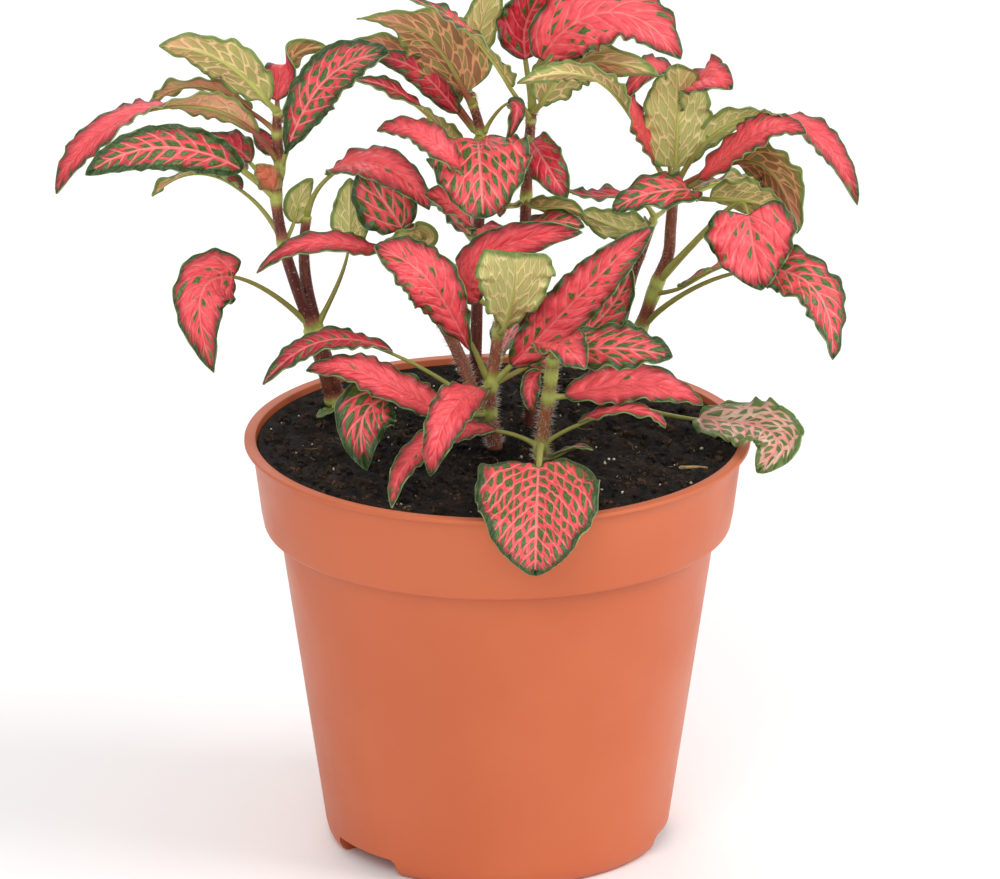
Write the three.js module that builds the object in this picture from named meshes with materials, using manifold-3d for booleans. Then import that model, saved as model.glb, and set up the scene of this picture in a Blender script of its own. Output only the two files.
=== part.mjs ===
// Potted nerve plant: a round nursery pot filled with soil, and seven leafy shoots that stand in the soil.
// Millimetres, +Z up. The origin is on the pot's axis, on the face that the pot stands on.

import * as THREE from 'three';
import { mergeVertices } from 'three/addons/utils/BufferGeometryUtils.js';
import Module from 'manifold-3d';

const wasm = await Module();
wasm.setup();

// ---------------------------------------------------------------- driving dimensions

// Pot, radii and heights of its outer and inner faces.
const RIM_RADIUS = 60;
const RIM_HEIGHT = 99.6;
const LIP_THICKNESS = 1.1;
const LIP_OVERHANG = 1.7;
const LIP_CHAMFER = 0.4;
const WALL = 1.0;
const COLLAR_FOOT_HEIGHT = 78;
const COLLAR_FOOT_RADIUS = 55.5;
const COLLAR_FILLET = 1.4;
const BODY_TOP_RADIUS = 51.8;
const BODY_FOOT_RADIUS = 41.1;
const BODY_FOOT_HEIGHT = 5.2;
const FOOT_RADIUS = 38;
const FOOT_RING_WIDTH = 2.2;
const FOOT_RING_SLOPE = 0.4;
const FOOT_HEIGHT = 4.8;
const FOOT_FILLET = 2.3;
const FOOT_FILLET_HEIGHT = 1.6;
const FLOOR_THICKNESS = 1.2;
const FLOOR_CORNER = 0.8;
const PAD_RADIUS = 14;
const PAD_SLOPE = 1;
const PAD_INSET = 0.1;
const POT_SIDES = 40;

// Openings in the pot: notches through the foot ring, drain holes in the raised floor.
const NOTCH_BEARINGS = [-52, 82, 195];
const NOTCH_ANGLE = 33;
const NOTCH_CORNER = 1.6;
const NOTCH_DEPTH = 16;
const NOTCH_START = 28;
const NOTCH_ROOF = FOOT_HEIGHT - 0.4;
const DRAIN_COUNT = 6;
const DRAIN_RADIUS = 4;
const DRAIN_CIRCLE = 25;
const DRAIN_SIDES = 14;
const DRILL_LENGTH = 6;

// Soil.
const GAP = 0.35;
const SOIL_EDGE_HEIGHT = 98.2;
const SOIL_MIDDLE_HEIGHT = 95.8;
const SOIL_BUMP = 0.42;
const SOIL_CORNER = 1;
const PAD_GAP = 0.5;
const SOIL_SIDES = 30;
const SOIL_RINGS = [52, 46, 38, 29, 20, 10];
const HOLE_GAP = 0.4;
const HOLE_SIDES = 10;
const STEM_DEPTH = 14;

// Leaves and stems.
const BLADE_THICKNESS = 0.65;
const BLADE_BASE_WIDTH = 1.2;
const BLADE_TIP_WIDTH = 0.7;
const ROW_LENGTH = 10.5;
const NARROW_BLADE = 12;
const CUPPING = 0.12;
const WAVE_HEIGHT = 0.05;
const WAVE_SHIFT = 2.4;
const WAVE_SIDE_SHIFT = 1.9;
const FULL_WAVE_SHARE = 0.3;
const ROW_SPREAD = 1.12;
const STALK_RADIUS = 0.45;
const STALK_RADIUS_BY_WIDTH = 0.025;
const STALK_TAPER = 0.45;
const RIDGE_SHARE = 0.3;
const RIDGE_DROP = 0.8;
const RIDGE_CLEARANCE = 0.13;
const FEWEST_ROWS = 4;
const STALK_SIDES = 4;
const STALK_STEPS = 3;
const STEM_SIDES = 6;
const WAVE_COUNT = 2.6;

// Outlines of a blade: how full it is, how blunt its foot and its tip are (a low number is blunt), and how
// far the lobes of its foot reach back, as a share of its width.
const OVAL = [1.81, 0.52, 0.7, 0];
const BROAD = [2, 0.42, 0.6, 0.06];
const LATE = [2.6, 0.9, 0.6, 0];
const FLARED = [1.7, 1, 0.2, 0];
const HEART = [2.05, 0.42, 0.8, 0.14];
const TAILED = [2.9, 0.5, 1.3, 0];

// The plant is described as it looks from the front, from this far above level.
const VIEW_ELEVATION = THREE.MathUtils.degToRad(19.4);

// Directions that a leaf's upper side may face.
const FRONT = [0, -1, 0.3];
const FRONT_UP = [0, -0.6, 0.8];
const UP = [0, -0.1, 1];
const BACK_UP = [0, 0.6, 0.8];
const BACK = [0, 1, 0.3];
const LEFT_FRONT = [-0.6, -0.8, 0.4];
const RIGHT_FRONT = [0.6, -0.8, 0.4];
const RIGHT_BACK = [0.5, 0.9, 0.3];

// Each shoot has stems and leaves. A place is [across, up, depth]: millimetres to the right of the axis,
// millimetres above the middle of the rim as seen from the front, and millimetres behind the axis.
// A stem is its places from the ground up, then its radius at the ground and at the top.
// A leaf is its foot, the places one third and two thirds along its midrib, its tip, its width, the share of
// its length that is bare stalk, the way its upper side faces at the foot and at the tip, and its blade's
// outline where that isn't the plain oval.
const SHOOTS = {
  left_shoot: {
    stems: [
      [[[-37.5, 6.6, 27], [-38.6, 9, 27], [-41, 17, 26], [-44, 26, 24]], 2.7, 2.2],
      [[[-44, 25, 24], [-48, 36, 22], [-50.8, 45.6, 20], [-52.4, 56, 19], [-51.5, 64, 18],
        [-52.1, 71.6, 17], [-51.9, 77, 16]], 1.5, 1.1],
      [[[-43, 25, 24.5], [-45.4, 36, 25], [-46, 45, 26], [-45.3, 52.3, 26]], 1.6, 1.1],
    ],
    leaves: [
      [[-51.9, 76.5, 16], [-59, 84.3, 13], [-67.6, 89.7, 10], [-79.6, 91.8, 9], 15, 0.1, BACK, BACK],
      [[-52.1, 71.7, 17], [-62.1, 80, 19], [-72.8, 82.8, 22], [-82.5, 78.3, 24], 11, 0.2, BACK_UP, BACK_UP],
      [[-51.8, 64.6, 18], [-68.8, 77.9, 12], [-89.8, 73.9, 5], [-104, 57, 2], 13, 0.12, BACK, FRONT_UP],
      [[-52.4, 56, 19], [-66.2, 65.8, 10], [-82, 67.7, 2], [-96.9, 61.3, -2], 14, 0.2, FRONT, FRONT],
      [[-52.4, 57, 19], [-59.8, 66.5, 26], [-63.8, 68.9, 29], [-70.5, 71.5, 31],
        11, 0.25, FRONT_UP, FRONT_UP],
      [[-50.8, 45.6, 20], [-59.8, 58.2, 23], [-70.9, 62.5, 20], [-81.8, 56.8, 16],
        12, 0.35, FRONT_UP, BACK_UP],
      [[-51.6, 64, 18], [-53.6, 67.7, 21], [-55.5, 70.1, 23], [-57.6, 73.4, 24], 6, 0.2, FRONT, FRONT],
      [[-52.4, 56, 19], [-53.4, 59.4, 16], [-54.8, 61.8, 13], [-57.2, 63.9, 11], 8, 0.2, FRONT, FRONT],
      [[-51.9, 76.5, 16], [-51.7, 83.1, 18], [-48.6, 89.5, 22], [-40.1, 91.8, 26], 11, 0.15, FRONT, BACK],
      [[-51.6, 62.5, 18], [-46.3, 75.5, 11], [-38.5, 85.5, 7], [-25.4, 90, 4],
        13.4, 0.1, FRONT, FRONT_UP, LATE],
      [[-45.3, 52.3, 26], [-37.8, 63.7, 18], [-25.9, 63.2, 6], [-16, 53.3, 0], 12, 0.25, UP, FRONT],
      [[-50.8, 45.6, 20], [-48.4, 51.1, 24], [-47, 55.9, 27], [-43.9, 61.1, 30], 9, 0.3, BACK, BACK],
      [[-43, 26, 24.5], [-36.6, 39.8, 22], [-34.9, 49.2, 20], [-34.9, 61.1, 18], 12, 0.5, BACK, BACK],
      [[-44, 25.5, 24], [-59, 36.6, 14], [-69.4, 34.8, 5], [-67.1, 14.9, 2],
        15.5, 0.42, FRONT, FRONT, HEART],
      [[-52.1, 71.6, 17], [-48.5, 76, 28], [-44, 80, 36], [-39.5, 80, 42], 12, 0.2, BACK_UP, BACK_UP],
      [[-52.4, 56, 19], [-62, 65, 31], [-71, 69, 38], [-79, 66, 43], 12, 0.25, BACK_UP, BACK_UP],
      [[-51.9, 76.5, 16], [-57, 82, 27], [-63, 86, 35], [-69, 87, 41], 12, 0.2, BACK_UP, BACK_UP],
      [[-38.8, 9, 27], [-39.5, 6.5, 22], [-41, 5.6, 19], [-43, 4.4, 17], 4, 0.3, UP, UP],
    ],
  },
  centre_shoot: {
    stems: [
      [[[-6, 1.2, 14], [-5.6, 10, 14], [-5, 25, 13], [-4.6, 45, 13], [-4, 60, 12], [-3.9, 70.8, 12],
        [-5.8, 78.3, 11], [-6.3, 81, 11]], 1.7, 1.0],
    ],
    leaves: [
      [[-4.8, 71.7, 12], [-11.8, 82.3, 14], [-20.5, 89.6, 16], [-36, 92.4, 18], 13, 0.2, BACK, BACK],
      [[-5.6, 72.2, 13], [-12.9, 80.6, 10], [-19.9, 86.8, 9], [-30.5, 89.4, 9], 9, 0.15, FRONT, FRONT],
      [[-5.8, 78.3, 11], [-11, 87.6, 8], [-18.6, 95.2, 6], [-33, 98.2, 8], 20, 0.1, BACK, BACK, TAILED],
      [[-6.3, 80, 11], [-6.3, 87.8, 14], [-3.7, 97.3, 16], [0.6, 109.1, 15], 11, 0.35, BACK, BACK],
      [[-3, 71.7, 11], [1.3, 77.2, 7], [4.4, 77.6, 4], [2.2, 69.4, 3], 6, 0.45, RIGHT_FRONT, RIGHT_FRONT],
      [[-4, 65.3, 12], [-12.9, 72.9, 8], [-21.9, 80, 3], [-33.5, 83.6, -1], 9, 0.15, BACK_UP, FRONT_UP],
      [[-4.4, 69.8, 10], [-4.4, 67.7, -2], [-3.9, 61.1, -12], [-3.4, 50.9, -16],
        24, 0.1, FRONT_UP, FRONT, BROAD],
      [[-4.1, 58.2, 12], [-9, 63.2, -14], [-17.2, 70.5, -15], [-28.3, 71.5, -10],
        10, 0.3, FRONT_UP, FRONT_UP],
      [[-4.5, 45, 13], [-6.5, 50, 4], [-11.2, 54.7, -2], [-17.2, 57, -4], 10, 0.3, FRONT_UP, FRONT_UP],
      [[-4.6, 45, 13], [-8, 50, 27], [-13, 55, 38], [-19, 57, 47], 13, 0.2, BACK_UP, BACK_UP],
      [[-4, 60, 12], [-7, 64, 25], [-10, 67, 35], [-13, 66, 43], 12, 0.2, BACK_UP, BACK_UP],
      [[-4.5, 45, 13], [-3.7, 49.2, 5], [-2.2, 46.9, 0], [-6.5, 44, -3], 10, 0.3, FRONT_UP, FRONT_UP],
    ],
  },
  tall_shoot: {
    stems: [
      [[[8, 2.6, 18], [7.6, 10, 18], [6.5, 25, 17], [6.5, 44, 15], [6.8, 57, 14], [7.4, 67.7, 13],
        [7.9, 74.6, 12], [8.4, 76.9, 12]], 1.7, 1.1],
    ],
    leaves: [
      [[7.9, 74.6, 12], [0.6, 86.9, 3], [-8.2, 96.1, -2], [-20.9, 102.5, -3], 11, 0.2, UP, UP],
      [[8.4, 76.7, 12], [12.7, 82.4, 9], [20.8, 87.8, 9.5], [38, 85, 9.5], 16, 0.15, BACK, BACK],
      [[8.4, 76.7, 12], [11.2, 79.5, 14], [14.8, 83.1, 15], [21.4, 85.7, 15], 7, 0.2, BACK, BACK],
      [[8.4, 76.7, 12], [12.5, 92, 8], [26.5, 99.5, 5], [43.2, 88.5, 3], 23, 0.25, FRONT, FRONT_UP],
      [[8.4, 76.7, 12], [6.3, 91.4, 14], [7.2, 98.5, 14], [12, 107.9, 10], 17, 0.25, FRONT, FRONT],
      [[7.2, 69.8, 13], [8.9, 68.2, 4], [12, 63, -4], [16.4, 55.9, -6], 12, 0.2, FRONT, FRONT],
      [[6.5, 44, 15], [10, 48, 28], [15, 51, 38], [21, 52, 47], 13, 0.2, BACK_UP, BACK_UP],
      [[7.4, 67.7, 13], [9.5, 68.5, 26], [11.5, 66, 36], [13, 60, 43], 10, 0.25, BACK_UP, BACK],
      [[6.8, 57, 14], [10, 54.2, 8], [14.8, 54, 4], [20.7, 52, 2], 8, 0.15, BACK, BACK],
      [[6.8, 57, 14], [4.1, 54.7, 6], [2, 54, 2], [0.6, 51.6, -1], 7, 0.2, BACK_UP, BACK_UP],
      [[6.5, 44, 15], [7.7, 49.2, 8], [13.6, 50.6, 2], [20.5, 49.2, 0], 9, 0.2, FRONT_UP, FRONT_UP],
    ],
  },
  middle_shoot: {
    stems: [
      [[[-0.6, -3.5, 0], [-0.8, -1, 0], [-1.8, 5.4, -0.5], [-1.5, 12.1, -1], [0.1, 23.4, -2],
        [1.3, 31, -3]], 2.0, 1.2],
      [[[-1.9, 5.4, -0.5], [-5, 8.5, 1], [-8.6, 18, 4], [-12.4, 25.6, 6], [-17.9, 33.1, 8], [-23, 43, 9],
        [-22.4, 48.6, 9]], 1.7, 1.1],
    ],
    leaves: [
      [[-22.4, 48.3, 9], [-25, 53, 9], [-28.5, 58, 11], [-31, 64, 14], 19, 0.05, FRONT, FRONT],
      [[-22.4, 48.3, 9], [-18.5, 46.6, 4], [-22.5, 44.5, -1], [-28.5, 44, -3], 13, 0.1, BACK, BACK],
      [[-2.2, 13.3, -1], [-10.5, 28, -9], [-17.3, 37.8, -12], [-29, 44.5, -11],
        14.5, 0.12, LEFT_FRONT, FRONT_UP, LATE],
      [[-22.6, 45, 9], [-31, 44.5, -2], [-43.2, 45.4, -7], [-56.7, 38.3, -8], 8, 0.2, FRONT_UP, FRONT_UP],
      [[-1.5, 12.1, -1], [1.5, 21, 20], [6, 29, 36], [12, 31, 49], 14, 0.3, BACK_UP, BACK_UP],
      [[-2.5, 6, 0], [-23.8, 19.6, -6], [-40.8, 22.3, -12], [-55.3, 12.1, -14], 9, 0.35, UP, FRONT_UP],
      [[-1.8, 5.4, -0.5], [-17.2, 8, -10], [-30.7, 14.4, -14], [-45.1, 15.4, -14],
        13, 0.15, FRONT_UP, FRONT_UP],
      [[-1.8, 5.4, -0.5], [-15, 8, -6], [-28.8, 7.8, -13], [-30.8, -8.2, -20],
        15.5, 0.6, FRONT_UP, FRONT, HEART],
      [[-1.8, 12, -1], [-6.5, 10.4, -18], [-12, 3.8, -31], [-15.7, -9.5, -38], 13, 0.2, FRONT_UP, FRONT],
      [[0.4, 25, -2], [2, 27, -10], [3.6, 33.5, -17], [4.4, 43, -21], 18.5, 0.15, BACK, BACK, FLARED],
      [[1.3, 30, -3], [-6.5, 35.7, -5], [0.6, 44, -9], [20, 47.8, -11], 14, 0.15, LEFT_FRONT, FRONT],
      [[-1.5, 12.1, -1], [11.2, 24.6, -8], [23.2, 37, -12], [36.8, 49.2, -14], 15, 0.12, FRONT, FRONT],
      [[-1.5, 12.1, -1], [13, 19.5, 4], [24.6, 28, 8], [31.6, 39.6, 9], 14, 0.2, FRONT, FRONT],
    ],
  },
  front_shoot: {
    stems: [
      [[[10.3, -7.2, -10.5], [10.3, -5, -10.6], [10.3, -2.8, -11], [11.2, 3.8, -12], [12.2, 10.2, -13],
        [13.1, 18.9, -14]], 1.9, 1.4],
    ],
    leaves: [
      [[10.1, -2.8, -11], [-4.1, 1.9, -13], [-17.9, -2.8, -25], [-24.7, -16.8, -48.5],
        9, 0.25, FRONT_UP, FRONT_UP],
      [[10.3, -3.5, -11], [9.8, -4.6, -33], [9.2, -17, -58], [8.8, -32.7, -69], 31, 0.42, UP, FRONT, HEART],
      [[13.1, 18.7, -14], [21.9, 20.4, -20], [31.4, 20.4, -24], [41.1, 18.5, -26],
        17, 0.1, FRONT_UP, FRONT_UP],
      [[13.1, 18.7, -14], [13.6, 21.5, -22], [16, 20.8, -32], [20.7, 15.6, -38],
        15, 0.1, FRONT_UP, FRONT_UP],
      [[12.4, 9.3, -13], [24.3, 11.4, -12], [36.1, 12.1, -10], [48.6, 7.3, -8],
        14, 0.1, FRONT_UP, FRONT_UP],
      [[10.8, -2, -11], [21.9, 4.5, -16], [32.5, 5.9, -18], [39.6, 1.9, -20], 8, 0.25, UP, UP],
      [[10.5, -5, -11], [14.8, -3.8, -14], [18.3, -2.6, -17], [22.4, -3.3, -20], 4, 0.1, UP, UP],
      [[12.7, 14.4, -13], [8.9, 14.4, -6], [7.7, 10.4, -8], [8.4, 5.4, -9], 6, 0.2, FRONT, FRONT],
    ],
  },
  right_shoot: {
    stems: [
      [[[27, 7.8, 32], [27.6, 11, 32], [30.5, 18, 31], [33.7, 24.6, 30], [38.2, 36.9, 28], [40.6, 43.1, 27],
        [41.1, 49, 26], [41.8, 58.5, 25]], 1.9, 1.3],
    ],
    leaves: [
      [[41.5, 58, 25], [32.3, 75.3, 15], [21.9, 84.5, 3], [4.6, 82.8, -2], 12, 0.1, RIGHT_FRONT, BACK],
      [[41.8, 58.2, 25], [40.4, 74.8, 26], [38.5, 86.6, 20], [29.2, 78.8, 12], 10, 0.4, FRONT_UP, FRONT_UP],
      [[41.8, 58.2, 25], [43.5, 73, 27], [47, 83.3, 16], [55.5, 81.8, 9], 16, 0.45, FRONT_UP, FRONT_UP],
      [[41.8, 58.2, 25], [42.3, 67.7, 20], [42.6, 78, 17], [42.4, 87.8, 16], 16.5, 0.2, BACK, BACK, BROAD],
      [[41.8, 58.2, 25], [57, 75, 16], [74, 72, 8], [84.9, 54.4, 4], 11.5, 0.1, BACK, FRONT_UP],
      [[41.8, 57.5, 25], [53.1, 65.3, 12], [62.6, 72, 6], [72.8, 71, 3], 12, 0.15, FRONT_UP, FRONT_UP],
      [[41.8, 58.2, 25], [55.7, 64.9, 20], [65, 62.5, 16], [71, 48, 14], 17, 0.35, RIGHT_BACK, RIGHT_BACK],
      [[41.8, 57, 25], [54.5, 56.4, 15], [60.9, 55.4, 11], [68.6, 53, 9], 14, 0.2, BACK, BACK],
      [[38.2, 36.9, 28], [54.6, 53.6, 13], [59.2, 51.8, 4], [62.4, 34.3, -2],
        23, 0.66, FRONT, FRONT, HEART],
      [[41.8, 57, 25], [45.6, 58.2, 14], [37.3, 57.5, 8], [27.1, 53, 6], 13, 0.25, FRONT_UP, FRONT_UP],
      [[41.8, 58.2, 25], [43, 68, 36], [42.5, 77, 44], [41, 84, 50], 13, 0.2, BACK_UP, BACK_UP],
      [[41.8, 57, 25], [50, 60, 38], [58, 61, 47], [66, 57, 54], 14, 0.2, BACK_UP, BACK_UP],
      [[34.2, 25.5, 30], [50.8, 36.7, 18], [70.4, 38.1, 6], [79.4, 18, 2],
        17, 0.5, RIGHT_FRONT, RIGHT_FRONT],
      [[37.2, 34, 28.5], [46.7, 37.6, 20], [56.2, 41, 14], [67.6, 36.2, 8], 8, 0.2, UP, UP],
      [[27.5, 10, 32], [46, 4.6, 10], [63.3, 1.6, -10], [61, -8.5, -20], 15, 0.36, FRONT_UP, FRONT_UP, BROAD],
    ],
  },
  rear_shoot: {
    stems: [
      [[[21, 9.5, 37], [21.6, 12, 37], [25, 19, 36], [29.5, 26.7, 35], [32.1, 37.6, 34], [34.4, 43.8, 33],
        [37.3, 52.1, 32]], 1.6, 1.0],
    ],
    leaves: [
      [[37.3, 52.1, 32], [33.7, 48.8, 26], [27.1, 50, 20], [19.5, 53, 16], 12, 0.2, BACK, BACK],
      [[37.3, 52.1, 32], [40, 55.5, 42], [39, 57, 50], [35, 56, 57], 11, 0.2, BACK_UP, BACK_UP],
      [[37.3, 52.1, 32], [32.8, 57, 28], [25.4, 57, 22], [16.2, 58.2, 18], 10, 0.2, UP, UP],
    ],
  },
};

// ---------------------------------------------------------------- shared helpers

/** Places a point given as it looks from the front. */
function seen([across, up, depth]) {
  const height = (up - depth * Math.sin(VIEW_ELEVATION)) / Math.cos(VIEW_ELEVATION);
  return new THREE.Vector3(across, depth, RIM_HEIGHT + height);
}

/** Builds a closed geometry from a list of points and a list of triangles. */
function geometryOf(points, triangles) {
  const geometry = new THREE.BufferGeometry();
  geometry.setFromPoints(points);
  geometry.setIndex(triangles.flat());
  return geometry;
}

/** Turns a closed geometry into a solid that can be joined and cut. */
function solidOf(geometry) {
  const bare = geometry.clone();
  bare.deleteAttribute('normal');
  bare.deleteAttribute('uv');
  const merged = mergeVertices(bare, 1e-4);
  const mesh = new wasm.Mesh({
    numProp: 3,
    vertProperties: new Float32Array(merged.attributes.position.array),
    triVerts: new Uint32Array(merged.index.array),
  });
  return new wasm.Manifold(mesh);
}

/** Gives a solid's surface back as a geometry. */
function geometryFrom(solid) {
  const mesh = solid.getMesh();
  const geometry = new THREE.BufferGeometry();
  geometry.setAttribute('position', new THREE.BufferAttribute(new Float32Array(mesh.vertProperties), 3));
  geometry.setIndex(new THREE.BufferAttribute(new Uint32Array(mesh.triVerts), 1));
  geometry.computeVertexNormals();
  return geometry;
}

/** Joins solids into one body, fills hollows that the joining seals and drops loose scraps. */
function fuse(solids) {
  const joined = wasm.Manifold.union(solids);
  const bodies = joined.decompose();
  return bodies.reduce((largest, body) => (body.volume() > largest.volume() ? body : largest));
}

/** Closes a tube round the rings of points that a path carries. */
function tube(path, radiusAt, sides, steps, start = 0, end = 1, aside = null) {
  const points = [];
  const triangles = [];
  const reference = new THREE.Vector3(0.31, -0.83, 0.47).normalize();
  for (let step = 0; step <= steps; step += 1) {
    const along = start + (end - start) * (step / steps);
    const centre = path.getPoint(along);
    const tangent = path.getTangent(along);
    const side = new THREE.Vector3().crossVectors(tangent, reference).normalize();
    const other = new THREE.Vector3().crossVectors(tangent, side).normalize();
    const radius = radiusAt(along);
    if (aside) centre.add(aside(along));
    for (let corner = 0; corner < sides; corner += 1) {
      const angle = (corner / sides) * Math.PI * 2;
      const spoke = side.clone().multiplyScalar(Math.cos(angle)).addScaledVector(other, Math.sin(angle));
      points.push(centre.clone().addScaledVector(spoke, radius));
    }
  }
  for (let step = 0; step < steps; step += 1) {
    for (let corner = 0; corner < sides; corner += 1) {
      const next = (corner + 1) % sides;
      const low = step * sides;
      const high = low + sides;
      triangles.push([low + corner, low + next, high + next]);
      triangles.push([low + corner, high + next, high + corner]);
    }
  }
  const last = steps * sides;
  for (let corner = 1; corner < sides - 1; corner += 1) {
    triangles.push([0, corner + 1, corner]);
    triangles.push([last, last + corner, last + corner + 1]);
  }
  return geometryOf(points, triangles);
}

// ---------------------------------------------------------------- leaves and stems

/** The midrib's curve through a leaf's four places. */
function midrib(leaf) {
  const [foot, third, twoThirds, tip] = leaf.slice(0, 4).map(seen);
  const early = new THREE.Vector3()
    .addScaledVector(foot, -5 / 6)
    .addScaledVector(third, 3)
    .addScaledVector(twoThirds, -1.5)
    .addScaledVector(tip, 1 / 3);
  const late = new THREE.Vector3()
    .addScaledVector(foot, 1 / 3)
    .addScaledVector(third, -1.5)
    .addScaledVector(twoThirds, 3)
    .addScaledVector(tip, -5 / 6);
  return new THREE.CubicBezierCurve3(foot, early, late, tip);
}

/** The direction that a leaf's upper side faces at a share of its length. */
function facing(leaf, path, along) {
  const blend = along * along * (3 - 2 * along);
  const hint = new THREE.Vector3(...leaf[6]).lerp(new THREE.Vector3(...leaf[7]), blend);
  const tangent = path.getTangent(along);
  return hint.addScaledVector(tangent, -hint.dot(tangent)).normalize();
}

/** Half the blade's width at a share of the blade's length, for a blade one unit wide. */
function halfWidth(share, [fullness, foot, tip]) {
  return 0.5 * fullness * share ** foot * (1 - share) ** tip;
}

/** A waved blade with the same split into triangles on both faces. */
function blade(leaf, path, index) {
  const width = leaf[4];
  const stalk = leaf[5];
  const outline = leaf[8] ?? OVAL;
  const lobes = outline[3];
  const rows = Math.max(FEWEST_ROWS, Math.round((path.getLength() * (1 - stalk)) / ROW_LENGTH));
  const cells = width > NARROW_BLADE ? 4 : 2;
  const points = [[], []];
  for (let row = 0; row <= rows; row += 1) {
    const share = (row / rows) ** ROW_SPREAD;
    const along = stalk + (1 - stalk) * share;
    const centre = path.getPoint(along);
    const normal = facing(leaf, path, along);
    const tangent = path.getTangent(along);
    const side = new THREE.Vector3().crossVectors(tangent, normal);
    const least = row === 0 ? BLADE_BASE_WIDTH / 2 : BLADE_TIP_WIDTH / 2;
    const reach = Math.max(least, halfWidth(share, outline) * width);
    const fullness = Math.min(1, reach / (FULL_WAVE_SHARE * width));
    for (let cell = 0; cell <= cells; cell += 1) {
      const over = (cell / cells) * 2 - 1;
      const phase = index * WAVE_SHIFT + (over > 0 ? WAVE_SIDE_SHIFT : 0);
      const wave = Math.sin(share * WAVE_COUNT * Math.PI * 2 + phase) * WAVE_HEIGHT * width * over * over;
      const lift = CUPPING * reach * Math.abs(over) + wave * fullness;
      const back = lobes * width * over * over * (1 - share) ** 3 * fullness;
      const middle = centre.clone().addScaledVector(side, over * reach).addScaledVector(normal, lift);
      middle.addScaledVector(tangent, -back);
      points[0].push(middle.clone().addScaledVector(normal, BLADE_THICKNESS / 2));
      points[1].push(middle.clone().addScaledVector(normal, -BLADE_THICKNESS / 2));
    }
  }
  return geometryOf(points.flat(), bladeTriangles(rows, cells));
}

/** The triangles of a blade: both faces, then the edge all round. */
function bladeTriangles(rows, cells) {
  const across = cells + 1;
  const under = (rows + 1) * across;
  const triangles = [];
  for (let row = 0; row < rows; row += 1) {
    for (let cell = 0; cell < cells; cell += 1) {
      const a = row * across + cell;
      const b = a + 1;
      const c = a + across + 1;
      const d = a + across;
      triangles.push([a, b, c], [a, c, d]);
      triangles.push([under + a, under + c, under + b], [under + a, under + d, under + c]);
    }
  }
  const edge = [];
  for (let cell = 0; cell < cells; cell += 1) edge.push(cell);
  for (let row = 0; row < rows; row += 1) edge.push(row * across + cells);
  for (let cell = cells; cell > 0; cell -= 1) edge.push(rows * across + cell);
  for (let row = rows; row > 0; row -= 1) edge.push(row * across);
  edge.forEach((from, place) => {
    const to = edge[(place + 1) % edge.length];
    triangles.push([from, under + from, under + to], [from, under + to, to]);
  });
  return triangles;
}

/** A leaf's stalk, which runs on under the blade as the raised midrib. */
function stalk(leaf, path) {
  const reach = leaf[5] + (1 - leaf[5]) * RIDGE_SHARE;
  const thick = STALK_RADIUS + leaf[4] * STALK_RADIUS_BY_WIDTH;
  const radiusAt = (along) => thick * (1 - STALK_TAPER * (along / reach));
  const drop = (along) => Math.min(1, along / leaf[5]) * (radiusAt(along) * RIDGE_DROP + RIDGE_CLEARANCE);
  const below = (along) => facing(leaf, path, along).multiplyScalar(-drop(along));
  return tube(path, radiusAt, STALK_SIDES, STALK_STEPS, 0, reach, below);
}

/** One shoot: its stems and leaves grown together. */
function shoot({ stems, leaves }) {
  const pieces = [];
  stems.forEach(([places, footRadius, topRadius], order) => {
    const route = places.map(seen);
    if (order === 0) route.unshift(route[0].clone().setZ(route[0].z - STEM_DEPTH));
    const path = new THREE.CatmullRomCurve3(route);
    const radiusAt = (along) => footRadius + (topRadius - footRadius) * along;
    pieces.push(solidOf(tube(path, radiusAt, STEM_SIDES, route.length)));
  });
  leaves.forEach((leaf, index) => {
    const path = midrib(leaf);
    pieces.push(solidOf(blade(leaf, path, index)));
    pieces.push(solidOf(stalk(leaf, path)));
  });
  return geometryFrom(fuse(pieces));
}

// ---------------------------------------------------------------- pot and soil

/** The radius of the pot's tapering body at a height. */
function bodyRadius(height) {
  const share = (height - BODY_FOOT_HEIGHT) / (COLLAR_FOOT_HEIGHT - BODY_FOOT_HEIGHT);
  return BODY_FOOT_RADIUS + (BODY_TOP_RADIUS - BODY_FOOT_RADIUS) * share;
}

/** The radius of the pot's collar at a height. */
function collarRadius(height) {
  const share = (height - COLLAR_FOOT_HEIGHT) / (RIM_HEIGHT - COLLAR_FOOT_HEIGHT);
  return COLLAR_FOOT_RADIUS + (RIM_RADIUS - LIP_OVERHANG - COLLAR_FOOT_RADIUS) * share;
}

/** A round body from a profile of [radius, height] pairs. */
function turned(profile, sides) {
  const outline = profile.map(([radius, height]) => new THREE.Vector2(radius, height));
  return new THREE.LatheGeometry(outline, sides).rotateX(Math.PI / 2);
}

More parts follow.
